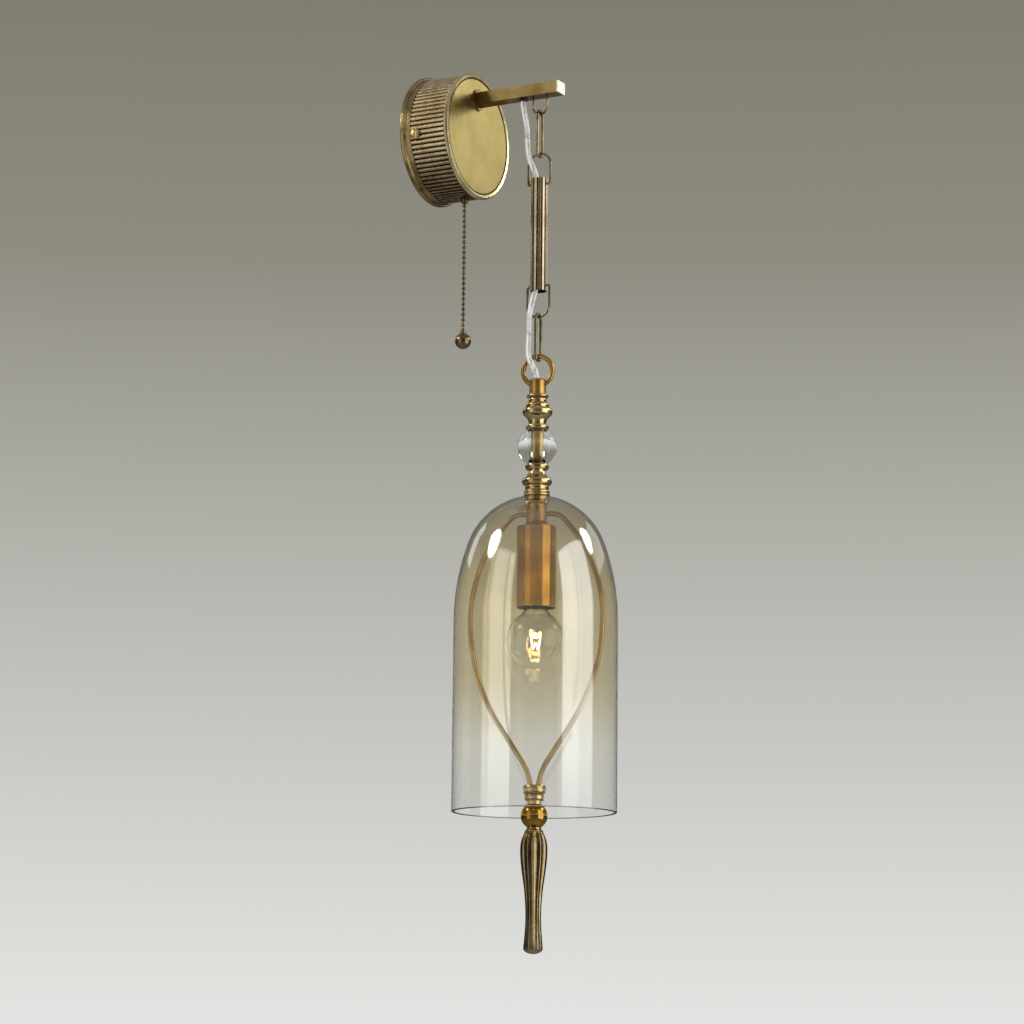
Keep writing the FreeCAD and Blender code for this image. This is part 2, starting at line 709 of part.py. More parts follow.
# ---------------------------------------------------------------- arm and what holds it
plate_back = lip_out - D["plate_flange"]
plate_front = plate_back + D["plate_thick"]
plate = turned(
    "face_plate_blank",
    [
        (0, 0),
        (bore_radius - D["fit"], 0),
        (bore_radius - D["fit"], D["plate_flange"]),
        (D["rim_lip_radius"] - D["plate_gap"], D["plate_flange"]),
        (D["rim_lip_radius"] - D["plate_gap"], D["plate_thick"]),
        (0, D["plate_thick"]),
    ],
)
place(plate, y=-plate_back, rotation=OUT_FROM_WALL)
stud_bore = D["arm_stud_radius"] + D["fit"]
stud_hole = rod("stud_hole", stud_bore, D["plate_thick"] * 3)
place(stud_hole, y=D["plate_thick"] - plate_back, z=D["arm_level"], rotation=OUT_FROM_WALL)
keep(cut("canopy_face_plate", plate, stud_hole))

cord_bore = D["cord_radius"] + D["cord_play"]
arm_disc = turned(
    "arm_disc",
    [
        (cord_bore, -D["arm_stud_length"]),
        (D["arm_stud_radius"], -D["arm_stud_length"]),
        (D["arm_stud_radius"], 0),
        (D["arm_disc_radius"], 0),
        (D["arm_disc_radius"], D["arm_disc_thick"]),
        (cord_bore, D["arm_disc_thick"]),
    ],
)
place(arm_disc, y=-plate_front, z=D["arm_level"], rotation=OUT_FROM_WALL)
arm_start = plate_front + D["arm_disc_thick"]
inner_width = D["arm_width"] - D["arm_wall"] * 2
inner_height = D["arm_height"] - D["arm_wall"] * 2
spigot_face = rectangle(inner_width - D["fit"] * 2, inner_height - D["fit"] * 2)
spigot = extruded("arm_spigot", "XZ_Plane", spigot_face, D["arm_spigot"])
place(spigot, y=-(arm_start + D["arm_spigot"] / 2), z=D["arm_level"])
spigot_hole = rod("spigot_hole", cord_bore, D["arm_spigot"] * 2)
place(spigot_hole, y=D["arm_spigot"] / 2 - arm_start, z=D["arm_level"], rotation=OUT_FROM_WALL)
keep(joined("arm_flange", arm_disc, cut("arm_spigot_bored", spigot, spigot_hole)))

arm_end = D["hook_out"] + D["arm_past_hook"]
arm_length = arm_end - arm_start
arm_face = rectangle(D["arm_width"], D["arm_height"])
arm_tube = extruded("arm_tube", "XZ_Plane", arm_face, arm_length)
place(arm_tube, y=-(arm_start + arm_length / 2), z=D["arm_level"])
arm_hollow = extruded("arm_hollow", "XZ_Plane", rectangle(inner_width, inner_height), arm_length + 2)
place(arm_hollow, y=-(arm_start + arm_length / 2), z=D["arm_level"])
arm_floor = D["arm_level"] - D["arm_height"] / 2
floor_hole_low = arm_floor - D["arm_wall"]
bush_out = D["hook_out"] - D["bush_setback"]
bush_hole = rod("bush_hole", D["bush_neck"] + D["fit"], D["arm_height"] / 2)
place(bush_hole, y=-bush_out, z=floor_hole_low)
hook_holes = []
for name, way in (("hook_hole_near", 1), ("hook_hole_far", -1)):
    hole = rod(name, D["hook_wire"] + D["fit"], D["arm_height"] / 2)
    hook_holes.append(place(hole, y=D["hook_bend"] * way - D["hook_out"], z=floor_hole_low))
keep(cut("arm_bar", arm_tube, arm_hollow, bush_hole, *hook_holes))

cap_face = extruded("arm_cap_face", "XZ_Plane", arm_face, D["arm_cap_thick"])
place(cap_face, y=-(arm_end + D["arm_cap_thick"] / 2), z=D["arm_level"])
cap_plug = extruded("arm_cap_plug", "XZ_Plane", spigot_face, D["arm_cap_spigot"])
place(cap_plug, y=-(arm_end - D["arm_cap_spigot"] / 2), z=D["arm_level"])
keep(joined("arm_end_cap", cap_face, cap_plug))

stud_nut = hexagon("arm_nut", D["stud_nut_flats"], D["stud_nut_thick"], stud_bore)
keep(place(stud_nut, y=D["stud_nut_thick"] - plate_back, z=D["arm_level"], rotation=OUT_FROM_WALL))

bush = turned(
    "cord_bush",
    [
        (D["bush_bore"], -D["bush_drop"]),
        (D["bush_neck"], -D["bush_drop"]),
        (D["bush_radius"], D["bush_edge"] - D["bush_drop"]),
        (D["bush_radius"], 0),
        (D["bush_neck"], 0),
        (D["bush_neck"], D["arm_wall"]),
        (D["bush_bore"], D["arm_wall"]),
    ],
)
keep(place(bush, y=-bush_out, z=arm_floor))

# ---------------------------------------------------------------- hook, links, fluted tube
hook_low = arm_floor - D["hook_drop"]
hook_top = arm_floor + D["arm_wall"]


def bow(name, bend, wire, degrees, start, then, y, z):
    """A bent stretch of round wire in the plane X = 0 or Y = -hook_out, from the side of its centre that
    start points at, by so many degrees towards then."""
    arc = doc.addObject("Part::Torus", name)
    bind(arc, "Radius1", bend)
    bind(arc, "Radius2", wire)
    arc.Angle3 = degrees
    return place(arc, y=y, z=z, rotation=FreeCAD.Rotation(start, then, start.cross(then), "ZXY"))


def straight(name, wire, length, way, x, y, z):
    """A straight stretch of round wire that runs off in one way."""
    return place(rod(name, wire, length), x, y, z, FreeCAD.Rotation(UP, way))


def chain_hook():
    """A U of wire with its legs up through the arm's floor."""
    centre = hook_low + D["hook_bend"]
    pieces = [bow("hook_bow", D["hook_bend"], D["hook_wire"], 180, INWARD, DOWN, -D["hook_out"], centre)]
    for side, way in (("near", 1), ("far", -1)):
        leg_y = D["hook_bend"] * way - D["hook_out"]
        pieces.append(straight("hook_leg_" + side, D["hook_wire"], hook_top - centre, UP, 0, leg_y, centre))
    return joined("chain_hook", *pieces)


def oval_link(name, top):
    """A closed oval link in the plane Y = -hook_out, by the level of its top centre line."""
    half, wire = D["link_half"], D["link_wire"]
    low = top - D["link_pitch"] + half
    side = D["link_pitch"] - half * 2
    pieces = [
        bow(name + "_top", half, wire, 180, RIGHT, UP, -D["hook_out"], top - half),
        bow(name + "_foot", half, wire, 180, RIGHT, DOWN, -D["hook_out"], low),
    ]
    for word, way in (("left", -1), ("right", 1)):
        pieces.append(straight(name + "_" + word, wire, side, UP, half * way, -D["hook_out"], low))
    return joined(name, *pieces)


def bail(name, top, up):
    """A wire arch on the fluted tube's end, its feet bent into holes in the tube's wall."""
    way = up.z
    half, bend, wire = D["bail_half"], D["bail_bend"], D["bail_wire"]
    foot_in = half - bend - D["tube_radius"] + D["tube_wall"]
    spring = top - half * way
    leg = D["bail_rise"] + D["bail_foot"] - half - bend
    turn = spring - leg * way
    pieces = [bow(name + "_arch", half, wire, 180, INWARD, up, -D["hook_out"], spring)]
    for word, side, side_way in (("near", 1, INWARD), ("far", -1, OUTWARD)):
        leg_y = half * side - D["hook_out"]
        bend_y = leg_y - bend * side
        pieces += [
            straight(name + "_leg_" + word, wire, leg, -up, 0, leg_y, spring),
            bow(name + "_bend_" + word, bend, wire, 90, side_way, -up, bend_y, turn),
            straight(name + "_foot_" + word, wire, foot_in, -side_way, 0, bend_y, turn - bend * way),
        ]
    return joined(name, *pieces)


keep(chain_hook())

link_reach = D["hook_wire"] + D["run_gap"] + D["link_wire"]
upper_link_top = hook_low + link_reach
keep(oval_link("upper_link", upper_link_top))

bail_reach = D["link_wire"] + D["run_gap"] + D["bail_wire"]
bail_top = upper_link_top - D["link_pitch"] + bail_reach
tube_top = bail_top - D["bail_rise"]
tube_low = tube_top - D["tube_length"]
bail_low = tube_low - D["bail_rise"]


def fluted_tube():
    """The tube between the links: a round tube with flutes cut along its outside."""
    tube = Part.makeCylinder(N["tube_radius"], N["tube_length"])
    tools = []
    centre = N["tube_radius"] + N["tube_flute_radius"] - N["tube_flute_depth"]
    for flute in range(int(N["tube_flutes"])):
        angle = 2 * math.pi * (flute + 0.5) / N["tube_flutes"]
        spot = V(centre * math.cos(angle), centre * math.sin(angle), 0)
        tools.append(Part.makeCylinder(N["tube_flute_radius"], N["tube_length"], spot))
    tools.append(Part.makeCylinder(N["tube_radius"] - N["tube_wall"], N["tube_length"]))
    for level in (N["bail_foot"], N["tube_length"] - N["bail_foot"]):
        start = V(0, -N["tube_radius"] * 2, level)
        tools.append(Part.makeCylinder(N["bail_wire"] + N["fit"], N["tube_radius"] * 4, start, INWARD))
    return tube.cut(tools)


keep(place(shaped("spacer_tube", fluted_tube()), y=-D["hook_out"], z=tube_low))


keep(bail("upper_bail", bail_top, UP))
keep(bail("lower_bail", bail_low, DOWN))

lower_link_top = bail_low + bail_reach
keep(oval_link("lower_link", lower_link_top))

# ---------------------------------------------------------------- ring and turned column
loop_top = lower_link_top - D["link_pitch"] + D["link_wire"] + D["run_gap"] + D["loop_wire"]
loop_centre = loop_top - D["loop_radius"]
neck_top = loop_centre - D["neck_sink"]
neck_low = neck_top - D["neck_height"]
LANTERN_TURN = FreeCAD.Rotation(UP, N["lantern_turn"])

ring = doc.addObject("Part::Torus", "loop_ring")
bind(ring, "Radius1", D["loop_radius"])
bind(ring, "Radius2", D["loop_wire"])
place(ring, y=-D["hook_out"], z=loop_centre, rotation=LANTERN_TURN * TO_RIGHT)
neck = turned(
    "loop_neck",
    [
        (0, -D["neck_height"]),
        (D["neck_radius"], -D["neck_height"]),
        (D["neck_radius"], -D["neck_edge"] * 2, D["neck_edge"] * 2),
        (D["neck_radius"] - D["neck_edge"] * 2, 0),
        (0, 0),
    ],
)
place(neck, y=-D["hook_out"], z=neck_top)
cord_way = rod("loop_cord_way", cord_bore, D["neck_height"] + D["loop_wire"])
place(cord_way, y=-D["hook_out"], z=neck_low)
stem_seat = rod("loop_stem_seat", D["stem_radius"] + D["fit"], D["stem_grip"])
place(stem_seat, y=-D["hook_out"], z=neck_low)
keep(cut("hanging_loop", joined("loop_casting", ring, neck), cord_way, stem_seat))

column_bore = D["stem_radius"] + D["fit"]


def on_column(piece, top):
    """Set a column piece down with its top face at this level."""
    return keep(place(piece, y=-D["hook_out"], z=top))


def bead_side(radius, low, height, proud=None):
    """The swelling edge of a bead, from its lower corner to its upper one."""
    proud = proud or D["bead_proud"]
    return [(radius - proud, low, bead_bend(height, proud)), (radius - proud, low + height)]


collar_height = D["collar_disc_height"] + D["collar_bead_height"]
disc_height = D["collar_disc_height"]
collar = turned(
    "loop_collar",
    [(column_bore, -collar_height)]
    + bead_side(D["collar_bead_radius"], -collar_height, D["collar_bead_height"])
    + bead_side(D["collar_disc_radius"], -disc_height, disc_height, disc_height / 3)
    + [(column_bore, 0)],
)
on_column(collar, neck_low)
vase_top = neck_low - collar_height

vase_height = D["vase_step_height"] + D["vase_disc_height"] + D["vase_cove_height"] + D["vase_bead_height"]
vase_disc_low = -(D["vase_step_height"] + D["vase_disc_height"])
vase_bead_top = -(vase_height - D["vase_bead_height"])
vase = turned(
    "upper_turning",
    [(column_bore, -vase_height)]
    + bead_side(D["vase_bead_radius"], -vase_height, D["vase_bead_height"])
    + [(D["vase_waist_radius"], vase_bead_top, -D["cove_bend"])]
    + bead_side(D["vase_disc_radius"], vase_disc_low, D["vase_disc_height"])
    + bead_side(D["vase_step_radius"], -D["vase_step_height"], D["vase_step_height"])
    + [(column_bore, 0)],
)
on_column(vase, vase_top)
ball_top = vase_top - vase_height

glass_bore = column_bore + D["ball_play"]
half_ball = D["ball_height"] / 2
flat_radius = (D["ball_radius"] * D["ball_radius"] - half_ball * half_ball).root()
crystal = turned(
    "crystal_ball",
    [
        (glass_bore, -D["ball_height"]),
        (flat_radius, -D["ball_height"], D["ball_radius"]),
        (flat_radius, 0),
        (glass_bore, 0),
    ],
)
on_column(crystal, ball_top)
base_top = ball_top - D["ball_height"]

base_waist_top = -D["base_bead_height"]
base_disc_top = base_waist_top - D["base_waist_height"]
base_foot_top = base_disc_top - D["base_disc_height"]
base_height = D["base_foot_height"] - base_foot_top
base = turned(
    "lower_turning",
    [(column_bore, -base_height)]
    + bead_side(D["base_foot_radius"], -base_height, D["base_foot_height"])
    + bead_side(D["base_disc_radius"], base_foot_top, D["base_disc_height"])
    + [(D["base_disc_radius"] - D["bead_proud"] * 2, base_disc_top, -D["cove_bend"])]
    + [(D["base_waist_radius"], base_waist_top)]
    + bead_side(D["base_bead_radius"], base_waist_top, D["base_bead_height"])
    + [(column_bore, 0)],
)
on_column(base, base_top)
cap_ring_top = base_top - base_height

half_ring = D["cap_ring_height"] / 2
ring_proud = half_ring / 3
cap_ring = turned(
    "shade_cap_ring",
    [(column_bore, -D["cap_ring_height"])]
    + bead_side(D["cap_ring_radius"], -D["cap_ring_height"], half_ring, ring_proud)[:1]
    + bead_side(D["cap_ring_radius"], -half_ring, half_ring, ring_proud)
    + [(column_bore, 0)],
)
on_column(cap_ring, cap_ring_top)
upper_gasket_top = cap_ring_top - D["cap_ring_height"]


def washer(name, radius, bore, height):
    """A flat ring whose top face is at its own origin."""
    return turned(name, [(bore, -height), (radius, -height), (radius, 0), (bore, 0)])


on_column(washer("upper_gasket", D["gasket_radius"], column_bore, D["gasket_thick"]), upper_gasket_top)
shade_top = upper_gasket_top - D["gasket_thick"]

# ---------------------------------------------------------------- glass shade
# Its outside is a crown arc, then a longer arc that meets the crown and the straight wall without a kink.
crown_low = -(D["crown_radius"] * D["crown_radius"] - D["shade_flat"] * D["shade_flat"]).root()
shoulder_drop = -D["shoulder_level"] - crown_low
shoulder_radius = (
    D["shade_radius"] * D["shade_radius"]
    + shoulder_drop * shoulder_drop
    - D["crown_radius"] * D["crown_radius"]
) / ((D["shade_radius"] - D["crown_radius"]) * 2)
centres_apart = shoulder_radius - D["crown_radius"]
lean_across = (shoulder_radius - D["shade_radius"]) / centres_apart
lean_up = -shoulder_drop / centres_apart


def crown_joint(inset):
    """Where crown and shoulder meet, on the outside or so far inside it."""
    reach = D["crown_radius"] - inset
    return lean_across * reach, crown_low + lean_up * reach


inner_crown = D["crown_radius"] - D["shade_wall"]
inner_rise = -D["shade_wall"] - crown_low
inner_flat = (inner_crown * inner_crown - inner_rise * inner_rise).root()
inner_radius = D["shade_radius"] - D["shade_wall"]
outer_joint, inner_joint = crown_joint(as_size(0)), crown_joint(D["shade_wall"])
shade = turned(
    "glass_shade",
    [
        (D["shade_hole"], -D["shade_wall"]),
        (inner_flat, -D["shade_wall"], -inner_crown),
        (*inner_joint, -(shoulder_radius - D["shade_wall"])),
        (inner_radius, -D["shoulder_level"]),
        (inner_radius, -D["shade_height"], D["shade_lip_bend"]),
        (D["shade_radius"], -D["shade_height"]),
        (D["shade_radius"], -D["shoulder_level"], shoulder_radius),
        (*outer_joint, D["crown_radius"]),
        (D["shade_flat"], 0),
        (D["shade_hole"], 0),
    ],
)
on_column(shade, shade_top)
lower_gasket_top = shade_top - D["shade_wall"]
on_column(washer("lower_gasket", D["gasket_radius"], column_bore, D["gasket_thick"]), lower_gasket_top)
hub_top = lower_gasket_top - D["gasket_thick"]

# ---------------------------------------------------------------- hub and frame wires
hub_height = D["hub_bead_height"] + D["hub_neck_height"] + D["hub_foot_height"]
hub_neck_low = -(D["hub_bead_height"] + D["hub_neck_height"])
hub = turned(
    "hub_turning",
    [
        (column_bore, -hub_height),
        (D["hub_foot_radius"], -hub_height),
        (D["hub_foot_radius"], -hub_height + D["hub_foot_height"] / 4, -D["hub_foot_height"]),
        (D["hub_radius"], hub_neck_low),
        (D["hub_radius"], -D["hub_bead_height"]),
    ]
    + bead_side(D["hub_bead_radius"], -D["hub_bead_height"], D["hub_bead_height"])
    + [(column_bore, 0)],
)
place(hub, y=-D["hook_out"], z=hub_top)
frame_level = hub_top - D["frame_level"]
hub_low = hub_top - hub_height


def frame_path(side, from_out, grip):
    """One frame wire from inside the hub, out and down round the bulb, to inside the finial's collar."""
    across = LANTERN_TURN.multVec(OUTWARD) * side
    start = V(0, -N["hook_out"], frame_level.number) + across * from_out
    path = WirePath(start, 0, across, UP)
    path.run(N["frame_top_out"] - from_out).bend(N["frame_top_bend"], -N["frame_top_turn"])
    path.bend(N["frame_side_bend"], N["frame_top_turn"] - 90)
    path.bend(N["frame_low_bend"], -N["frame_low_turn"]).run(N["frame_low_run"])
    path.bend(N["frame_foot_bend"], N["frame_foot_turn"])
    arrival = path.place
    path.run(grip)
    return path, arrival


def frame_wire(name, side, wire, lead):
    path, arrival = frame_path(side, N["hub_radius"] - N["frame_grip"] - lead, N["frame_foot_grip"] + lead)
    return shaped(name, wire_solid(path.edges, wire)), arrival


hole_lead = 0.2
wire_sides = {"left": -1, "right": 1}
wires, wire_holes = {}, []
for word, side in wire_sides.items():
    wires[word], arrival = frame_wire("frame_wire_" + word, side, N["frame_wire"], 0)
    hole, _ = frame_wire("frame_wire_hole_" + word, side, N["frame_wire"] + N["fit"], hole_lead)
    wire_holes.append(hole)
keep(cut("frame_hub", hub, *wire_holes))
for wire in wires.values():
    keep(wire)

# ---------------------------------------------------------------- lampholder
stem_top = neck_low + D["stem_grip"]
cup_top = hub_low
nut_top = cup_top - D["cup_top"]
holder_top = nut_top - D["lock_nut_thick"] - D["holder_top_gap"]
stem_low = holder_top - D["holder_stem_grip"]
stem = rod("threaded_stem", D["stem_radius"], stem_top - stem_low, D["stem_bore"])
keep(place(stem, y=-D["hook_out"], z=stem_low))

cup_inside = D["cup_radius"] - D["cup_wall"]
cup = turned(
    "lampholder_cover",
    [
        (column_bore, -D["cup_top"]),
        (cup_inside, -D["cup_top"]),
        (cup_inside, -D["cup_height"]),
        (D["cup_radius"], -D["cup_height"]),
        (D["cup_radius"], -D["cup_edge"], D["cup_edge"]),
        (D["cup_radius"] - D["cup_edge"], 0),
        (column_bore, 0),
    ],
)
on_column(cup, cup_top)
lock_nut = hexagon("holder_nut", D["lock_nut_flats"], D["lock_nut_thick"], column_bore)
on_column(lock_nut, nut_top - D["lock_nut_thick"])

room_low = -D["holder_stem_grip"] - D["wire_room_height"]
socket_top = -D["holder_height"] + D["socket_depth"]
holder = turned(
    "lampholder_body",
    [
        (0, room_low),
        (0, socket_top),
        (D["socket_radius"], socket_top),
        (D["socket_radius"], -D["holder_height"]),
        (D["holder_radius"], -D["holder_height"]),
        (D["holder_radius"], 0),
        (column_bore, 0),
        (column_bore, -D["holder_stem_grip"]),
        (D["wire_room_radius"], -D["holder_stem_grip"]),
        (D["wire_room_radius"], room_low),
    ],
)
on_column(holder, holder_top)
contact_top = holder_top + socket_top
on_column(washer("lampholder_contact", D["contact_radius"], 0, D["contact_thick"]), contact_top)
shell_radius = D["socket_radius"] - D["fit"]
shell_bore = shell_radius - D["shell_wall"]
on_column(washer("lampholder_shell", shell_radius, shell_bore, D["shell_height"]), contact_top)

# ---------------------------------------------------------------- bulb
bulb_centre = cup_top - D["bulb_drop"]
fillet_out = D["bulb_neck_radius"] + D["bulb_shoulder"]
fillet_reach = D["bulb_radius"] + D["bulb_shoulder"]
fillet_up = (fillet_reach * fillet_reach - fillet_out * fillet_out).root()
bulb_inside = D["bulb_radius"] - D["bulb_glass"]
neck_bore = D["bulb_neck_radius"] - D["bulb_glass"]
outer_share, inner_share = D["bulb_radius"] / fillet_reach, bulb_inside / fillet_reach
bulb = turned(
    "bulb_glass",
    [
        (0, -D["bulb_radius"], D["bulb_radius"]),
        (fillet_out * outer_share, fillet_up * outer_share, -D["bulb_shoulder"]),
        (D["bulb_neck_radius"], fillet_up),
        (D["bulb_neck_radius"], D["bulb_neck_rise"]),
        (neck_bore, D["bulb_neck_rise"]),
        (neck_bore, fillet_up, D["bulb_shoulder"] + D["bulb_glass"]),
        (fillet_out * inner_share, fillet_up * inner_share, -bulb_inside),
        (0, -bulb_inside),
    ],
)
on_column(bulb, bulb_centre)
bulb_neck_top = bulb_centre + D["bulb_neck_rise"]
cap_top = contact_top - D["contact_thick"]
cap_height = cap_top - bulb_neck_top
bulb_cap = turned(
    "bulb_cap",
    [
        (D["bulb_cap_radius"] - D["bulb_cap_wall"], 0),
        (D["bulb_cap_radius"], 0),
        (D["bulb_cap_radius"], cap_height - D["bulb_cap_tip"]),
        (D["contact_radius"], cap_height - D["bulb_cap_wall"]),
        (D["contact_radius"], cap_height),
        (0, cap_height),
        (0, cap_height - D["bulb_cap_wall"] * 2),
        (D["bulb_cap_radius"] - D["bulb_cap_wall"], cap_height - D["bulb_cap_tip"] - D["bulb_cap_wall"]),
    ],
)
keep(place(bulb_cap, y=-D["hook_out"], z=bulb_neck_top))
press_radius = neck_bore - D["fit"]
bulb_press = turned(
    "bulb_stem",
    [
        (0, -D["bulb_stem_length"]),
        (D["bulb_stem_radius"], -D["bulb_stem_length"]),
        (D["bulb_stem_radius"], -D["bulb_press_thick"]),
        (press_radius, -D["bulb_press_thick"]),
        (press_radius, 0),
        (0, 0),
    ],
)
on_column(bulb_press, bulb_neck_top)


def filament():
    """A zigzag of fine wire that hangs from the glass stem."""
    half, rise = N["filament_half"], N["filament_rise"]
    top, lead = N["bulb_neck_rise"] - N["bulb_stem_length"], N["bulb_stem_radius"] / 2
    peak = top - rise / 2
    spots = [(-lead, top), (-lead, peak), (-half, rise), (-half / 2, -rise), (0, peak - 2)]
    spots += [(-x, z) for x, z in reversed(spots[:-1])]
    points = [V(x, 0, z) for x, z in spots]
    return wire_solid(rounded_route("filament", points, 0.3), N["filament_wire"])


on_column(shaped("bulb_filament", filament()), bulb_centre)

# ---------------------------------------------------------------- finial
collar_top = Size(arrival.z, repr(arrival.z))
foot_height = D["foot_collar_height"] + D["foot_ring_height"] + D["foot_neck_height"]
finial_bore = D["finial_stud_radius"] + D["fit"]
foot_ring_top = -D["foot_collar_height"]
foot = turned(
    "finial_collar_turning",
    [
        (0, D["finial_stud_grip"] - foot_height),
        (finial_bore, D["finial_stud_grip"] - foot_height),
        (finial_bore, -foot_height),
        (D["foot_neck_radius"], -foot_height),
        (D["foot_neck_radius"], D["foot_neck_height"] - foot_height),
    ]
    + bead_side(D["foot_ring_radius"], D["foot_neck_height"] - foot_height, D["foot_ring_height"])
    + bead_side(D["foot_collar_radius"], foot_ring_top, D["foot_collar_height"])
    + [(0, 0)],
)
place(foot, y=-D["hook_out"], z=collar_top)
keep(cut("finial_collar", foot, *wire_holes))
finial_ball_top = collar_top - foot_height

half_finial = D["finial_ball_height"] / 2
finial_flat = (D["finial_ball_radius"] * D["finial_ball_radius"] - half_finial * half_finial).root()
finial = turned(
    "finial_ball",
    [
        (finial_bore, -D["finial_ball_height"]),
        (finial_flat, -D["finial_ball_height"], D["finial_ball_radius"]),
        (finial_flat, 0),
        (finial_bore, 0),
    ],
)
on_column(finial, finial_ball_top)
finial_ring_top = finial_ball_top - D["finial_ball_height"]
drop_ring_height = D["drop_ring_height"]
drop_ring = turned(
    "finial_ring",
    [(finial_bore, -drop_ring_height)]
    + bead_side(D["drop_ring_radius"], -drop_ring_height, drop_ring_height, drop_ring_height / 3)
    + [(finial_bore, 0)],
)
on_column(drop_ring, finial_ring_top)
drop_top = finial_ring_top - drop_ring_height

drop_swing = D["drop_belly_radius"] - D["drop_waist_radius"]
drop_fall = D["drop_waist_level"] - D["drop_belly_level"]
drop_bend = (drop_fall * drop_fall + drop_swing * drop_swing) / (drop_swing * 4)
flare_out = D["drop_foot_radius"] - D["drop_waist_radius"]
drop_foot_level = D["drop_length"] - D["drop_end_height"]
flare_fall = drop_foot_level - D["drop_waist_level"]
flare_bend = (flare_fall * flare_fall + flare_out * flare_out) / (flare_out * 2)
top_swell = D["drop_belly_radius"] - D["drop_top_radius"]
top_bend = (D["drop_belly_level"] * D["drop_belly_level"] + top_swell * top_swell) / (top_swell * 2)
end_fall = D["drop_end_height"]
end_bend = (end_fall * end_fall + D["drop_foot_radius"] * D["drop_foot_radius"]) / (end_fall * 2)
drop_blank = turned(
    "drop_turning",
    [
        (0, -D["drop_length"], end_bend),
        (D["drop_foot_radius"], -drop_foot_level, -flare_bend),
        (D["drop_waist_radius"], -D["drop_waist_level"], -drop_bend),
        (D["drop_belly_radius"] - drop_swing / 2, -D["drop_belly_level"] - drop_fall / 2, drop_bend),
        (D["drop_belly_radius"], -D["drop_belly_level"], top_bend),
        (D["drop_top_radius"], 0),
        (finial_bore, 0),
        (finial_bore, -D["finial_stud_grip"]),
        (0, -D["finial_stud_grip"]),
    ],
)
place(drop_blank, y=-D["hook_out"], z=drop_top)


def drop_flutes():
    """The tools that cut the drop's flutes: round wires laid along its side."""
    tool = N["drop_flute_radius"]
    lift = tool - N["drop_flute_depth"]
    turn = math.degrees(2 * math.atan(drop_swing.number / drop_fall.number))
    flare_turn = math.degrees(2 * math.atan(flare_out.number / flare_fall.number))
    top_turn = math.degrees(2 * math.atan(top_swell.number / N["drop_belly_level"]))
    belly, waist, flare = drop_bend.number + lift, drop_bend.number - lift, flare_bend.number - lift
    downward = ((belly, -turn), (waist, turn), (flare, flare_turn))
    upward = ((top_bend.number + lift, top_turn),)
    tools = []
    for flute in range(int(N["drop_flutes"])):
        across = FreeCAD.Rotation(UP, 360 * flute / N["drop_flutes"]).multVec(RIGHT)
        sides = []
        for heading, bends in ((-90, downward), (90, upward)):
            start = across * (N["drop_belly_radius"] + lift) - UP * N["drop_belly_level"]
            path = WirePath(start, heading, across, UP)
            for bend, degrees in bends:
                path.bend(bend, degrees)
            path.run(N["drop_end_height"])
            sides.append(wire_solid(path.edges, tool))
        tools.append(sides[0].fuse(sides[1]))
    return Part.makeCompound(tools)


flute_tools = place(shaped("drop_flute_tools", drop_flutes()), y=-D["hook_out"], z=drop_top)
keep(cut("finial_drop", drop_blank, flute_tools))
stud_length = D["finial_stud_grip"] * 2 + D["finial_ball_height"] + drop_ring_height
finial_stud = rod("finial_stud", D["finial_stud_radius"], stud_length)
keep(place(finial_stud, y=-D["hook_out"], z=drop_top - D["finial_stud_grip"]))

# ---------------------------------------------------------------- side screws
for word, way, turn in (("left", -1, TO_LEFT), ("right", 1, TO_RIGHT)):
    head = turned(
        "side_screw_head_" + word,
        [
            (0, -D["side_screw_length"]),
            (D["side_screw_shank"], -D["side_screw_length"]),
            (D["side_screw_shank"], 0),
            (D["side_screw_head"], 0),
            (D["side_screw_head"], D["side_screw_rim"], D["side_screw_bend"]),
            (0, D["side_screw_dome"]),
        ],
    )
    place(head, D["rib_radius"] * way, -D["side_screw_out"], bracket_z, turn)
    slot_length, slot_deep = D["side_screw_head"] * 3, D["screw_slot_depth"] * 2
    slot = block("side_screw_slot_" + word, slot_length, D["screw_slot_width"], slot_deep)
    slot_x = (D["rib_radius"] + D["side_screw_dome"]) * way
    place(slot, slot_x, -D["side_screw_out"], bracket_z, turn)
    keep(cut("side_screw_" + word, head, slot))

# ---------------------------------------------------------------- pull switch and its chain
switch_low = D["switch_lift"] - bore_radius
switch_body = block("switch_block", D["switch_width"], D["switch_depth"], D["switch_height"])
place(switch_body, y=-D["pull_out"], z=switch_low + D["switch_height"] / 2)
ferrule_top = switch_low + D["ferrule_grip"]
head_low = ferrule_top + D["switch_spring_length"]
chamber_radius = D["plunger_head_radius"] + D["plunger_play"]
chamber_height = head_low + D["plunger_head_height"] + D["plunger_tip"] - switch_low
chamber = rod("switch_chamber", chamber_radius, chamber_height)
place(chamber, y=-D["pull_out"], z=switch_low)
keep(cut("pull_switch_body", switch_body, chamber))

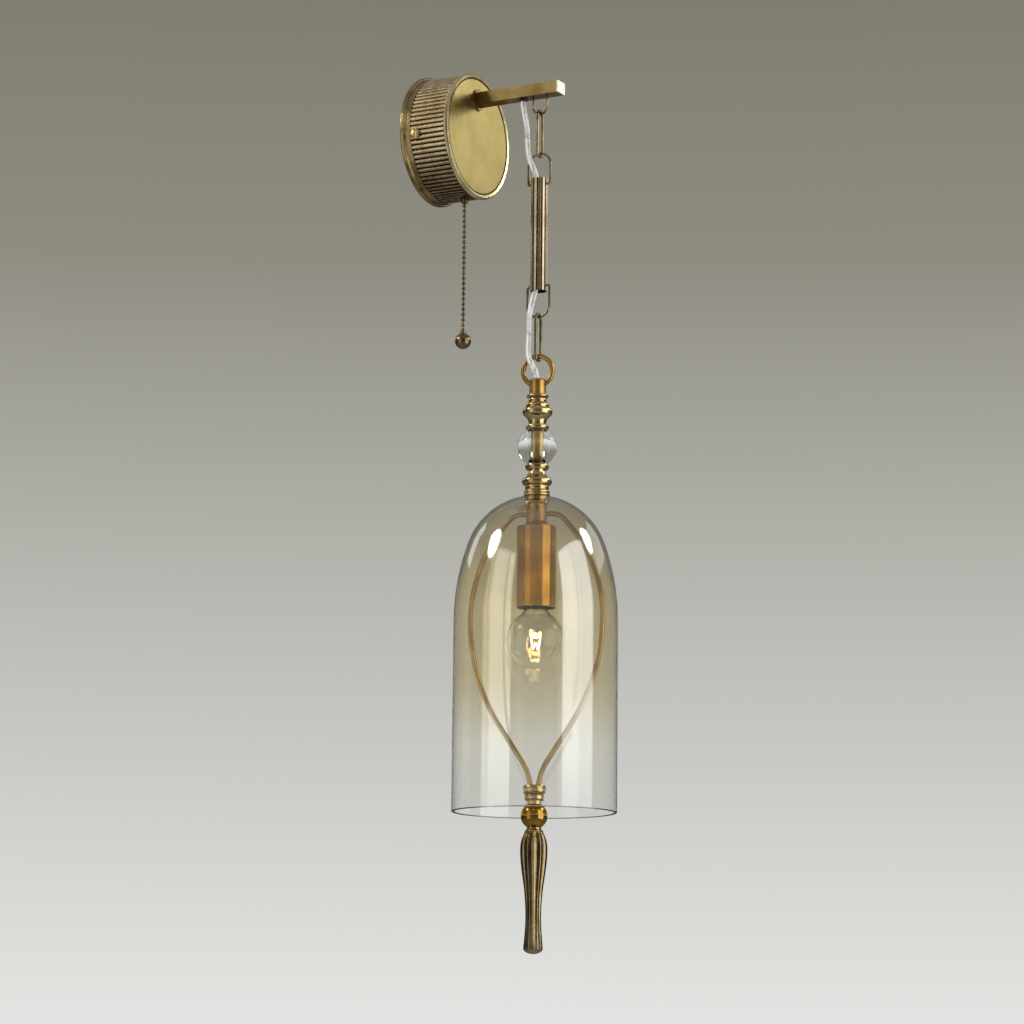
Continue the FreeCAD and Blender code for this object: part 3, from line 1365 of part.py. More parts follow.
ferrule_low = -(D["rib_radius"] + D["ferrule_drop"])
ferrule = turned(
    "pull_switch_ferrule",
    [
        (D["ferrule_bore"], ferrule_low - ferrule_top),
        (D["ferrule_radius"], ferrule_low - ferrule_top),
        (D["ferrule_radius"], 0),
        (D["ferrule_bore"], 0),
    ],
)
keep(place(ferrule, y=-D["pull_out"], z=ferrule_top))
nut_bore = D["ferrule_radius"] + D["fit"]
ferrule_nut = hexagon("pull_switch_nut", D["ferrule_nut_flats"], D["ferrule_nut_thick"], nut_bore)
keep(place(ferrule_nut, y=-D["pull_out"], z=switch_low - D["ferrule_nut_thick"]))
plunger_low = ferrule_low - D["plunger_tip"]
plunger = turned(
    "pull_plunger",
    [
        (0, plunger_low - head_low),
        (D["plunger_radius"], plunger_low - head_low),
        (D["plunger_radius"], 0),
        (D["plunger_head_radius"], 0),
        (D["plunger_head_radius"], D["plunger_head_height"]),
        (0, D["plunger_head_height"]),
    ],
)
keep(place(plunger, y=-D["pull_out"], z=head_low))
spring = rod(
    "switch_spring",
    D["plunger_head_radius"] - D["plunger_play"],
    D["switch_spring_length"],
    D["plunger_radius"] + D["plunger_play"] * 2,
)
keep(place(spring, y=-D["pull_out"], z=ferrule_top))


def bead_chain(name, top, low, first, count):
    """So many beads on a wire that runs from top to low, the first bead's centre at its own level."""
    pieces = [place(rod(name + "_wire", D["bead_wire"], top - low), y=-D["pull_out"], z=low)]
    for bead in range(int(count)):
        ball = doc.addObject("Part::Sphere", "%s_bead_%d" % (name, bead))
        bind(ball, "Radius", D["bead_radius"])
        pieces.append(place(ball, y=-D["pull_out"], z=first - D["bead_pitch"] * bead))
    return keep(joined(name, *pieces))


chain_top = plunger_low - D["chain_gap"]
first_bead = plunger_low - D["first_bead"]
last_upper = first_bead - D["bead_pitch"] * (N["upper_beads"] - 1)
chain_joint = last_upper - D["bead_pitch"] / 2
half_gap = D["chain_gap"] / 2
bead_chain("pull_chain_upper", chain_top, chain_joint + half_gap, first_bead, N["upper_beads"])
first_lower = last_upper - D["bead_pitch"]
last_lower = first_lower - D["bead_pitch"] * (N["lower_beads"] - 1)
cap_top_level = last_lower - D["bead_radius"]
bead_chain("pull_chain_lower", chain_joint - half_gap, cap_top_level, first_lower, N["lower_beads"])
pull_radius, pull_cap = D["pull_ball_radius"], D["pull_cap_radius"]
pull_rise = (pull_radius * pull_radius - pull_cap * pull_cap).root()
pull_ball = turned(
    "pull_ball",
    [
        (0, -(D["pull_cap_height"] + pull_rise + pull_radius), pull_radius),
        (pull_cap, -D["pull_cap_height"]),
        (pull_cap, 0),
        (0, 0),
    ],
)
keep(place(pull_ball, y=-D["pull_out"], z=cap_top_level))

# ---------------------------------------------------------------- cord
# The routes are chosen by hand: from the arm's bush past the hook into the fluted tube, and from the
# tube's lower end past the lower link into the ring's neck.
def hung(level, *spots):
    """Points of a route: right of the lantern's axis, in from it towards the wall, and up from a level."""
    return [V(across, inward - N["hook_out"], level.number + up) for across, inward, up in spots]


bush_back, below_bush = N["bush_setback"], -6.05
cord_upper_route = [
    *hung(D["arm_level"], (0, bush_back + N["cord_arm_turn"], 0), (0, bush_back, 0)),
    *hung(arm_floor, (0, bush_back, below_bush)),
    *hung(tube_top, (-0.4, 12.7, 51.2), (-1.2, 10.6, 39.7), (-2.6, 9.6, 28.2), (-3.7, 7.6, 17.3)),
    *hung(tube_top, (-2.2, 3.6, 7.4), (-0.8, 1.5, -2.2), (-0.8, 1.5, -10.8)),
]
cord_lower_route = [
    *hung(tube_low, (-0.8, 1.5, 9.6), (-0.8, 1.5, 2.6), (-2.0, 4.5, -7.4)),
    *hung(tube_low, (-3.7, 5.8, -18.9), (-3.9, 5.9, -30.4), (-4.9, 5.6, -39.6)),
    *hung(loop_centre, (-7.1, 5.2, 9.45), (0, 0, -3.05), (0, 0, -16.45)),
]
for name, route in (("cord_upper", cord_upper_route), ("cord_lower", cord_lower_route)):
    keep(shaped(name, wire_solid(rounded_route(name, route), N["cord_radius"])))
cord_arm = rod("cord_arm", D["cord_radius"], bush_out - D["cord_arm_turn"] - D["cord_arm_start"])
keep(place(cord_arm, y=-D["cord_arm_start"], z=D["arm_level"], rotation=OUT_FROM_WALL))
tube_cord_low, tube_cord_top = cord_lower_route[0], cord_upper_route[-1]
tube_cord_length = tube_cord_top.z - tube_cord_low.z
keep(shaped("cord_tube", Part.makeCylinder(N["cord_radius"], tube_cord_length, tube_cord_low, UP)))
cord_stem_low = stem_low - D["holder_stem_grip"] / 2
cord_stem_length = cord_lower_route[-1].z - cord_stem_low.number
cord_stem_foot = V(0, -N["hook_out"], cord_stem_low.number)
cord_stem = Part.makeCylinder(N["cord_radius"], cord_stem_length, cord_stem_foot)
keep(shaped("cord_stem", cord_stem))

# ---------------------------------------------------------------- check and export
doc.recompute()
for thing in doc.Objects:
    if "Invalid" in thing.State or "Error" in thing.State:
        raise RuntimeError("%s: %s" % (thing.Name, thing.State))
names = [piece.Label for piece in nodes]
if len(set(names)) != len(names):
    raise RuntimeError("two pieces share a name")
for piece in nodes:
    if piece.Shape.isNull() or not piece.Shape.isValid() or not piece.Shape.Solids:
        raise RuntimeError("%s has no sound shape" % piece.Label)
    piece.Shape.exportStep("parts/%s.step" % piece.Label)
print(len(nodes), "pieces")
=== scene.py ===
import math

import bpy
import numpy as np
from mathutils import Matrix, Vector


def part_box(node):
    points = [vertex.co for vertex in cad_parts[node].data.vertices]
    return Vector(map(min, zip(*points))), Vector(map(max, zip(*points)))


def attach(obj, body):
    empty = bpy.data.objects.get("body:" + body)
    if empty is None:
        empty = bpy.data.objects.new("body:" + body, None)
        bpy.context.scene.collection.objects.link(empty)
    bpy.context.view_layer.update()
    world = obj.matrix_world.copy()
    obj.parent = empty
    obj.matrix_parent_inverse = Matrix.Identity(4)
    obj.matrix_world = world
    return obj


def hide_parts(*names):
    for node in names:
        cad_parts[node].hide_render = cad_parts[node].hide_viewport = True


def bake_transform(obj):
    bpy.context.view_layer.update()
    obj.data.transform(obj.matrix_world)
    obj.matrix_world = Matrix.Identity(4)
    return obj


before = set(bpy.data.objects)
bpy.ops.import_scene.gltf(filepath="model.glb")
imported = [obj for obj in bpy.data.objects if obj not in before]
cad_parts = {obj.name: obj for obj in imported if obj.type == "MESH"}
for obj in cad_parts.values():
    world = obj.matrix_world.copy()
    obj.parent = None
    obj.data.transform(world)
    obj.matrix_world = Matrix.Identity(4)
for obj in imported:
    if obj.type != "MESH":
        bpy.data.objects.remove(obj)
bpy.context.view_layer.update()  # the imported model: bodies, nodes, joints, record
MM = 0.001


# ---------------------------------------------------------------- camera
# Where the photograph was taken from: low and to the left, looking up a little with a long lens. Turns are
# in degrees, and the focal length and the picture's width in pixels.
CAMERA_PLACE = Vector((-2136.9, -1269.4, -728.7)) * MM
CAMERA_AZIMUTH, CAMERA_RISE, CAMERA_ROLL = (math.radians(a) for a in (-60.83, 9.76, 0.562))
FOCAL_PIXELS = 3187.6
PICTURE_PIXELS = 1024
SENSOR_WIDTH = 36  # mm
SIGHT_END = 50  # m

forward = Vector(
    (
        -math.sin(CAMERA_AZIMUTH) * math.cos(CAMERA_RISE),
        math.cos(CAMERA_AZIMUTH) * math.cos(CAMERA_RISE),
        math.sin(CAMERA_RISE),
    )
)
level = Vector((math.cos(CAMERA_AZIMUTH), math.sin(CAMERA_AZIMUTH), 0))
upward = level.cross(forward)
right = level * math.cos(CAMERA_ROLL) + upward * math.sin(CAMERA_ROLL)
upright = upward * math.cos(CAMERA_ROLL) - level * math.sin(CAMERA_ROLL)
camera_data = bpy.data.cameras.new("camera")
camera_data.sensor_width = SENSOR_WIDTH
camera_data.lens = FOCAL_PIXELS / PICTURE_PIXELS * SENSOR_WIDTH
camera_data.clip_end = SIGHT_END
camera = bpy.data.objects.new("camera", camera_data)
camera_turn = Matrix((right, upright, -forward)).transposed().to_4x4()
camera.matrix_world = Matrix.Translation(CAMERA_PLACE) @ camera_turn
bpy.context.collection.objects.link(camera)
bpy.context.scene.camera = camera


# ---------------------------------------------------------------- cord
# Clear twin flex, 4.4 mm wide: two strands side by side that turn slowly about each other. It comes down
# from the bush under the arm, past the hook and the upper link into the fluted tube, and out of the tube
# past the lower link into the ring's neck. Each half is cut where a link lets it bend.
CORD_WIDTH = 4.4 * MM
STRAND_SIDES = 14
FIRST_TURN, TURNS = -0.18, 0.2  # a stretch's twist at its start, and over its length, in whole turns
UPPER_ROUTE = [
    (0, -72.7, 29.8),
    (0, -83.2, 29.8),
    (0, -83.2, 19.0),
    (-0.4, -85.8, 8.5),
    (-1.2, -87.9, -3.0),
    (-2.6, -88.9, -14.5),
    (-3.7, -90.9, -25.4),
    (-2.2, -94.9, -35.3),
    (-0.8, -97.0, -44.9),
    (-0.8, -97.0, -53.5),
]
LOWER_ROUTE = [
    (-0.8, -97.0, -124.0),
    (-0.8, -97.0, -131.0),
    (-2.0, -94.0, -141.0),
    (-3.7, -92.7, -152.5),
    (-3.9, -92.6, -164.0),
    (-4.9, -92.9, -173.2),
    (-7.1, -93.3, -188.1),
    (0, -98.5, -200.6),
    (0, -98.5, -214.0),
]


def add_piece(name, vertices, faces, body, hollow=None):
    """A smooth mesh at the origin whose vertices are given in the row frame, in metres. It rides on a body
    where one is named. hollow, 0 on a crest and more in a groove, is kept on its vertices."""
    mesh = bpy.data.meshes.new(name)
    mesh.from_pydata(np.reshape(vertices, (-1, 3)).tolist(), [], faces)
    mesh.shade_smooth()
    if hollow is not None:
        mesh.attributes.new("hollow", "FLOAT", "POINT").data.foreach_set("value", np.ravel(hollow))
    piece = bpy.data.objects.new(name, mesh)
    bpy.context.collection.objects.link(piece)
    if body:
        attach(piece, body)
    return piece


def round_tube(centres, radius, across, over, sides):
    """The skin of a round tube along a line of centres: c + r (u cos a + v sin a), with a once round and with
    u and v, across and over, two directions square to the line."""
    ring = np.linspace(0, 2 * math.pi, sides, endpoint=False)[None, :, None]
    return centres[:, None] + radius * (np.cos(ring) * across[:, None] + np.sin(ring) * over[:, None])


def tube_faces(rings, sides, first=0):
    """The faces of a tube whose rings of vertices are numbered on from first: quads from each vertex to the
    next on its ring and to the ring after, and one flat face over each end."""
    corner = first + np.arange((rings - 1) * sides).reshape(rings - 1, sides)
    beside = np.roll(corner, -1, axis=1)
    quads = np.stack([corner, beside, beside + sides, corner + sides], axis=-1).reshape(-1, 4)
    start = list(range(first, first + sides))
    return quads.tolist() + [start[::-1], [(rings - 1) * sides + i for i in start]]


def smooth_line(name, route):
    """The points of the smooth spline that a route of points in millimetres steers."""
    curve = bpy.data.curves.new(name, "CURVE")
    curve.dimensions = "3D"
    curve.resolution_u = 16
    spline = curve.splines.new("NURBS")
    spline.points.add(len(route) - 1)
    for point, spot in zip(spline.points, route):
        point.co = (spot[0] * MM, spot[1] * MM, spot[2] * MM, 1)
    spline.order_u = 3
    spline.use_endpoint_u = True
    holder = bpy.data.objects.new(name, curve)
    bpy.context.collection.objects.link(holder)
    mesh = bpy.data.meshes.new_from_object(holder)
    points = np.array([vertex.co[:] for vertex in mesh.vertices])
    bpy.data.objects.remove(holder)
    bpy.data.meshes.remove(mesh)
    return points


def twin_strands(name, line):
    """Two round strands side by side along a line. Each strand's centre is a quarter of the cord's width from
    it, on a direction cos t across the line and sin t square to that, and t turns on along the line."""
    quarter = CORD_WIDTH / 4
    ahead = np.gradient(line, axis=0)
    ahead /= np.linalg.norm(ahead, axis=1)[:, None]
    aside = np.cross(ahead, (1.0, 0.0, 0.0))
    aside /= np.linalg.norm(aside, axis=1)[:, None]
    across = np.cross(ahead, aside)
    length = np.concatenate([[0], np.cumsum(np.linalg.norm(np.diff(line, axis=0), axis=1))])
    angle = 2 * math.pi * (FIRST_TURN + TURNS * length / length[-1])[:, None]
    towards = aside * np.cos(angle) + across * np.sin(angle)
    beside = np.cross(ahead, towards)
    skins, faces = [], []
    for number, side in enumerate((-1, 1)):
        skins.append(round_tube(line + towards * quarter * side, quarter, towards, beside, STRAND_SIDES))
        faces += tube_faces(len(line), STRAND_SIDES, first=number * len(line) * STRAND_SIDES)
    return add_piece(name, np.concatenate(skins), faces, None)


def cord_stretch(name, route, node_name, bodies, bend_from, bend_to):
    """One stretch of the cord: twin strands along the smooth line that its route steers, in place of its CAD
    node, which is hidden. bodies, bend_from and bend_to are not used.
    """
    line = smooth_line(name + "_line", route)
    piece = twin_strands(name, line)
    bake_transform(piece)
    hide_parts(node_name)


def middle(a, b):
    """The point halfway between two points."""
    return tuple((p + q) / 2 for p, q in zip(a, b))


# Each stretch's name, route, CAD node and two bodies, and the numbers of two points on its route, meant as
# where it starts and ends to bend.
upper_cut = middle(UPPER_ROUTE[4], UPPER_ROUTE[5])
lower_cut = middle(LOWER_ROUTE[4], LOWER_ROUTE[5])
CORD_STRETCHES = (
    ("cord_from_arm", UPPER_ROUTE[:5] + [upper_cut], "cord_upper", ("canopy", "upper_link"), (2, -1)),
    ("cord_into_tube", [upper_cut] + UPPER_ROUTE[5:], "cord_upper", ("upper_link", "spacer"), (0, -2)),
    ("cord_from_tube", LOWER_ROUTE[:5] + [lower_cut], "cord_lower", ("spacer", "lower_link"), (1, -1)),
    ("cord_into_ring", [lower_cut] + LOWER_ROUTE[5:], "cord_lower", ("lower_link", "lantern"), (0, -2)),
)
for name, route, node_name, bodies, (start, end) in CORD_STRETCHES:
    spots = [tuple(value * MM for value in route[index]) for index in (start, end)]
    cord_stretch(name, route, node_name, bodies, *spots)


def linear(colour):
    """An sRGB hex colour as linear RGBA."""
    parts = [int(colour[i : i + 2], 16) / 255 for i in (1, 3, 5)]
    return (*(p / 12.92 if p <= 0.04045 else ((p + 0.055) / 1.055) ** 2.4 for p in parts), 1)


def per_metre(size):
    """The scale of a pattern whose cells are so many millimetres long: how many of them fill a metre."""
    return float(round(1 / (size * MM)))


def node(tree, kind, stops=(), **inputs):
    """Add a shader node with its settings and links. An input is a number, a colour, another node's output,
    or a node whose first output is meant; _0 is the first input. A name that isn't an input is one of the
    node's own settings. stops are a colour ramp's places and colours, each one hex or a shade of grey."""
    made = tree.nodes.new(kind)
    settings = {k: v for k, v in inputs.items() if k not in made.inputs and hasattr(made, k)}
    for name, value in settings.items():
        setattr(made, name, value)
    for name, value in inputs.items():
        if name in settings:
            continue
        socket = made.inputs[int(name[1:])] if name[0] == "_" else made.inputs[name.replace("_", " ")]
        if isinstance(value, bpy.types.Node):
            value = value.outputs[0]
        if isinstance(value, bpy.types.NodeSocket):
            tree.links.new(value, socket)
        else:
            socket.default_value = value
    if stops:
        while len(made.color_ramp.elements) < len(stops):
            made.color_ramp.elements.new(0.5)
        for element, (at, colour) in zip(made.color_ramp.elements, stops):
            element.position = at
            element.color = linear(colour) if isinstance(colour, str) else (colour, colour, colour, 1)
    return made


def new_material(name):
    """An empty material, its tree of nodes, its output and the place on the object, in metres."""
    material = bpy.data.materials.new(name)
    material.use_nodes = True
    tree = material.node_tree
    tree.nodes.clear()
    output = tree.nodes.new("ShaderNodeOutputMaterial")
    place = node(tree, "ShaderNodeTexCoord").outputs["Object"]
    return material, tree, output, place


def dress(material, *names):
    """Give CAD nodes or pieces, by name, this material on all their slots."""
    for name in names:
        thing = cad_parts.get(name) or bpy.data.objects[name]
        if not thing.material_slots:
            thing.data.materials.append(material)
        for slot in thing.material_slots:
            slot.link = "OBJECT"
            slot.material = material


# Its material is a clear soft sheath moulded over bright stranded wire, tinned and bare. To the eye it is
# nearly white and glossy, with faint grey lines along it. The Wave node draws a band every 314 mm divided
# by its scale: 2.9 mm here, coarser than the real strands, so that the lines show.
clear_flex, tree, output, place = new_material("clear_flex")
strands = node(tree, "ShaderNodeTexWave", bands_direction="X", Vector=place, Scale=110.0, Distortion=2.5)
flex_colour = node(
    tree,
    "ShaderNodeValToRGB",
    stops=((0.1, "#D9D6CE"), (0.45, "#F7F5F0"), (0.9, "#FFFFFF")),
    _0=strands.outputs["Fac"],
)
sheath = node(
    tree,
    "ShaderNodeBsdfPrincipled",
    Base_Color=flex_colour,
    Roughness=0.2,
    Transmission_Weight=0.12,
    IOR=1.5,
)
tree.links.new(sheath.outputs[0], output.inputs[0])
dress(clear_flex, *(stretch[0] for stretch in CORD_STRETCHES), "cord_arm", "cord_tube", "cord_stem")


# ---------------------------------------------------------------- canopy
# The box on the wall: a spun brass drum with round ribs, between a polished front rim and a base ring. A
# satin face plate closes it, and a screw on each side holds it on a zinc-plated steel bracket.
CLOUD, SPOT, SPECK, POLISHING_LINE = 18.2, 7.14, 3.125, 0.3846  # mm, sizes of the brasses' patterns
PLATE_GRAIN = 0.5556  # mm
PLATE_DARK_EDGE = (45.6 * MM, 46.2 * MM)  # radii on the face plate between which the dark band at its edge sets in
RIB_HOLLOW = (49.1 * MM, 49.9 * MM)  # radii on the drum between which a groove ends and a crest begins
DRUM_SHADE_HEIGHTS = (-48 * MM, 8 * MM)  # heights on the drum between which the painted shade on its underside fades out


def brass(
    name,
    light,
    dark,
    patina_and_shade,
    roughness,
    spread,
    hollow=None,
    lines=(1.0, 1.0, 1.0),
    line=POLISHING_LINE,
    bump=0.04,
):
    """Old brass, turned or cast and polished. Its colour wanders between light and dark in clouds, patina
    and painted shade sit where hollow says, and its roughness goes up and down by spread in soft spots.
    hollow is a function that returns a node or an output. Polishing lines, coarser than real ones so that
    they show, stand out as bump, and a small share of lines along an axis draws them out along it."""
    material, tree, output, place = new_material(name)
    clouds = node(tree, "ShaderNodeTexNoise", Vector=place, Scale=per_metre(CLOUD), Detail=4.0, Roughness=0.6)
    colour = node(tree, "ShaderNodeValToRGB", stops=((0.32, dark), (0.66, light)), _0=clouds.outputs["Fac"])
    if hollow is not None:
        specks = node(tree, "ShaderNodeTexNoise", Vector=place, Scale=per_metre(SPECK), Detail=3.0)
        amount = node(
            tree,
            "ShaderNodeMath",
            operation="MULTIPLY_ADD",
            _0=specks.outputs["Fac"],
            _1=0.5,
            _2=hollow(tree, place),
        )
        share = node(tree, "ShaderNodeMapRange", Value=amount, From_Min=0.45, From_Max=1.1)
        blend = node(tree, "ShaderNodeMix", data_type="RGBA", Factor=share, _6=colour, _7=linear(patina_and_shade))
        colour = blend.outputs[2]
    spots = node(tree, "ShaderNodeTexNoise", Vector=place, Scale=per_metre(SPOT), Detail=5.0)
    dull = node(
        tree,
        "ShaderNodeMapRange",
        Value=spots.outputs["Fac"],
        From_Min=0.3,
        From_Max=0.7,
        To_Min=roughness - spread,
        To_Max=roughness + spread,
    )
    stretched = node(tree, "ShaderNodeMapping", Vector=place, Scale=lines)
    scratches = node(tree, "ShaderNodeTexNoise", Vector=stretched, Scale=per_metre(line), Detail=2.0)
    relief = node(tree, "ShaderNodeBump", Height=scratches.outputs["Fac"], Strength=bump, Distance=0.2 * MM)
    metal = node(
        tree,
        "ShaderNodeBsdfPrincipled",
        Base_Color=colour,
        Metallic=1.0,
        Roughness=dull,
        Normal=relief,
    )
    tree.links.new(metal.outputs[0], output.inputs[0])
    return material


def near_line(tree, place, axis, centre, near, far):
    """1 within the radius near of a line along X, Y or Z, given as axis 0, 1 or 2, and 0 beyond the radius
    far. The radius is the root of the sum of the squares of the distances from centre on the other axes."""
    parts = node(tree, "ShaderNodeSeparateXYZ", Vector=place).outputs
    squares = []
    for part, at in zip([parts[i] for i in range(3) if i != axis], centre):
        away = node(tree, "ShaderNodeMath", operation="SUBTRACT", _0=part, _1=at)
        squares.append(node(tree, "ShaderNodeMath", operation="POWER", _0=away, _1=2.0))
    total = node(tree, "ShaderNodeMath", operation="ADD", _0=squares[0], _1=squares[1])
    radius = node(tree, "ShaderNodeMath", operation="SQRT", _0=total)
    return node(
        tree,
        "ShaderNodeMapRange",
        Value=radius,
        From_Min=near,
        From_Max=far,
        To_Min=1.0,
        To_Max=0.0,
    )


def plate_edge(tree, place):
    """A dark band just inside the face plate's edge: 1 less what near_line says."""
    inside = near_line(tree, place, 1, (0.0, 0.0), *PLATE_DARK_EDGE)
    return node(tree, "ShaderNodeMath", operation="SUBTRACT", _0=1.0, _1=inside)


def drum_patina_and_shade(tree, place):
    """Patina and painted shade between the ribs, and painted shade on the drum's underside, where it spreads
    over
    the crests too: the sum of the two."""
    height = node(tree, "ShaderNodeSeparateXYZ", Vector=place).outputs[2]
    bottom, top = DRUM_SHADE_HEIGHTS
    under = node(
        tree,
        "ShaderNodeMapRange",
        Value=height,
        From_Min=bottom,
        From_Max=top,
        To_Min=0.55,
        To_Max=0.0,
    )
    between = near_line(tree, place, 1, (0.0, 0.0), *RIB_HOLLOW)
    return node(tree, "ShaderNodeMath", operation="ADD", _0=between, _1=under)


def narrow_places(tree, place):
    """The grooves of a turned piece, by how its surface bends: they gather patina and painted shade."""
    bent = node(tree, "ShaderNodeNewGeometry").outputs["Pointiness"]
    return node(
        tree,
        "ShaderNodeMapRange",
        Value=bent,
        From_Min=0.4,
        From_Max=0.49,
        To_Min=0.9,
        To_Max=0.0,
    )


def plain_material(name, light, dark, roughness, metallic=0.0, grain=2.5):
    """Steel, plastic, rubber or paint with its own fine grain, in mm, in its colour, roughness and bump."""
    material, tree, output, place = new_material(name)
    noise = node(tree, "ShaderNodeTexNoise", Vector=place, Scale=per_metre(grain), Detail=4.0)
    colour = node(tree, "ShaderNodeValToRGB", stops=((0.3, dark), (0.7, light)), _0=noise.outputs["Fac"])
    dull = node(
        tree,
        "ShaderNodeMapRange",
        Value=noise.outputs["Fac"],
        To_Min=roughness * 0.8,
        To_Max=roughness * 1.2,
    )
    relief = node(tree, "ShaderNodeBump", Height=noise.outputs["Fac"], Strength=0.08, Distance=0.2 * MM)
    skin = node(
        tree,
        "ShaderNodeBsdfPrincipled",
        Base_Color=colour,
        Metallic=metallic,
        Roughness=dull,
        Normal=relief,
    )
    tree.links.new(skin.outputs[0], output.inputs[0])
    return material


# Face plate: satin, olive-gold, with a fine grain and a dark edge.
satin_brass = brass(
    "satin_brass",
    "#BDA968",
    "#AE9A58",
    "#3A2A12",
    0.33,
    0.05,
    hollow=plate_edge,
    line=PLATE_GRAIN,
    bump=0.05,
)
dress(satin_brass, "canopy_face_plate")

# Drum: bright crests, with brown patina and painted shade between the ribs, and painted shade underneath.
ribbed_brass = brass(
    "ribbed_brass",
    "#F2DDB0",
    "#C4A772",
    "#26150C",
    0.24,
    0.06,
    hollow=drum_patina_and_shade,
    lines=(1.0, 0.05, 1.0),
    bump=0.02,
)
dress(ribbed_brass, "canopy_drum")

# Front rim: pale gold, the brightest metal of the canopy. Base ring: browner.
rim_brass = brass("rim_brass", "#FFF0BE", "#DCC78A", "#3A260E", 0.3, 0.05, hollow=narrow_places)
dress(rim_brass, "canopy_front_rim")
flange_brass = brass("flange_brass", "#C4AD78", "#6E5634", "#2E1D0C", 0.2, 0.05, hollow=narrow_places)
dress(flange_brass, "canopy_base_ring")

# Side screws: turned, bright orange-gold.
screw_brass = brass("screw_brass", "#F6DC9C", "#E2BE74", "#53330F", 0.36, 0.05)
dress(screw_brass, "side_screw_left", "side_screw_right")

# Behind the face plate: the bracket, grey with a dull shine, and the terminal block, white and matt.
zinc_steel = plain_material("zinc_steel", "#C9CBCB", "#A5A8A9", 0.35, metallic=1.0)
dress(zinc_steel, "mounting_bracket")
dress(plain_material("white_plastic", "#E9E6DC", "#DCD8CB", 0.5), "terminal_block")


# ---------------------------------------------------------------- arm
# A square brass bar that stands out from the face plate on a round flange, held by a nut behind the plate
# and closed by a pale brass end cap, near-white with a painted highlight. The cord leaves it through a black
# plastic bush.
arm_brass = brass("arm_brass", "#B89C63", "#8E7443", "#3A260E", 0.24, 0.06, lines=(1.0, 0.04, 1.0))
dress(arm_brass, "arm_bar", "arm_flange", "arm_nut")
# End cap: pale brass, with a painted highlight in its near-white colour.
cap_brass_highlight = brass("cap_painted_highlight", "#FBF3DC", "#EFE3C2", "#B79A5E", 0.25, 0.04)
dress(cap_brass_highlight, "arm_end_cap")
black_plastic = plain_material("black_plastic", "#1C1B1A", "#111010", 0.4)
dress(black_plastic, "cord_bush")


# ---------------------------------------------------------------- chain
# What the lantern hangs on: a hook under the arm, two links and two bails bent from round brass wire, a
# fluted brass tube between them, and a cast ring with its neck.
AXIS_Y = -98.5 * MM  # the line that hook, chain and lantern hang on
TUBE_HOLLOW = (6.35 * MM, 6.72 * MM)  # radii of the tube between which a flute ends and an arris begins

# Hook, links and bails: smooth wire, olive-brown, with sharp bright lights.
wire_link_brass = brass("pale_brass", "#B3A482", "#615138", "#3A2A14", 0.14, 0.04)
dress(wire_link_brass, "chain_hook", "upper_link", "lower_link", "upper_bail", "lower_bail")


def tube_hollow(tree, place):
    """The tube's flutes, darkened by patina and painted shade: 1 at their depth and 0 on the arrises, by
    near_line.
    """
    return near_line(tree, place, 2, (0.0, AXIS_Y), *TUBE_HOLLOW)


# Spacer tube: pale, with flutes darkened by patina and painted shade, and lines drawn out along it.
fluted_brass = brass(
    "fluted_brass",
    "#D8C8A6",
    "#AF9C79",
    "#4A3822",
    0.28,
    0.05,
    hollow=tube_hollow,
    lines=(1.0, 1.0, 0.04),
)
dress(fluted_brass, "spacer_tube")

# Ring and its neck: cast, orange-gold, glossy.
golden_brass = brass("golden_brass", "#D9AE60", "#B58943", "#53330F", 0.33, 0.05)
dress(golden_brass, "hanging_loop")


# ---------------------------------------------------------------- column
# Turned brass under the ring, above and below a clear crystal ball, and the cap ring on the glass. All of
# it is threaded on one brass stem.
turned_brass = brass("turned_brass", "#E6CE97", "#B99A62", "#2E1D0C", 0.17, 0.05, hollow=narrow_places)
dress(turned_brass, "loop_collar", "upper_turning", "lower_turning", "shade_cap_ring")


GLASS_CLOUD = 16.7  # mm


def clear_glass(name, tone, ior):
    """Clear polished glass, a little uneven in its tone and surface."""
    material, tree, output, place = new_material(name)
    waves = node(tree, "ShaderNodeTexNoise", Vector=place, Scale=per_metre(GLASS_CLOUD), Detail=1.0)
    colour = node(tree, "ShaderNodeValToRGB", stops=((0.3, tone), (0.7, "#FFFFFF")), _0=waves.outputs["Fac"])
    relief = node(tree, "ShaderNodeBump", Height=waves.outputs["Fac"], Strength=0.02, Distance=1 * MM)
    glass = node(
        tree,
        "ShaderNodeBsdfPrincipled",
        Base_Color=colour,
        Roughness=0.0,
        Transmission_Weight=1.0,
        IOR=ior,
        Normal=relief,
    )
    tree.links.new(glass.outputs[0], output.inputs[0])
    return material


# The ball: crystal glass, faintly grey, which shows the stem inside it.
dress(clear_glass("crystal", "#DEE3E3", 1.52), "crystal_ball")

# Stem, nuts and contacts, here and in the lamp: plain machined brass that hardly shows.
plain_brass = brass("plain_brass", "#CDAF6B", "#A88A4A", "#5A4020", 0.3, 0.08)
dress(plain_brass, "threaded_stem", "holder_nut")


# ---------------------------------------------------------------- shade
# A bell of blown smoked glass between two rubber gaskets, dark and amber-grey at the crown and clear
# towards the rim. It shines more than clear glass does, most at the crown, as if thinly coated.
SHADE_RIM, SHADE_CROWN = -541.6 * MM, -297.8 * MM  # heights
SHADE_WAVE = 111  # mm, from one shallow wave in the blown wall to the next
SMOKE, SMOKE_DENSITY = (0.42, 0.42, 0.34, 1), 60.0  # the wall absorbs density (1 - colour) a metre

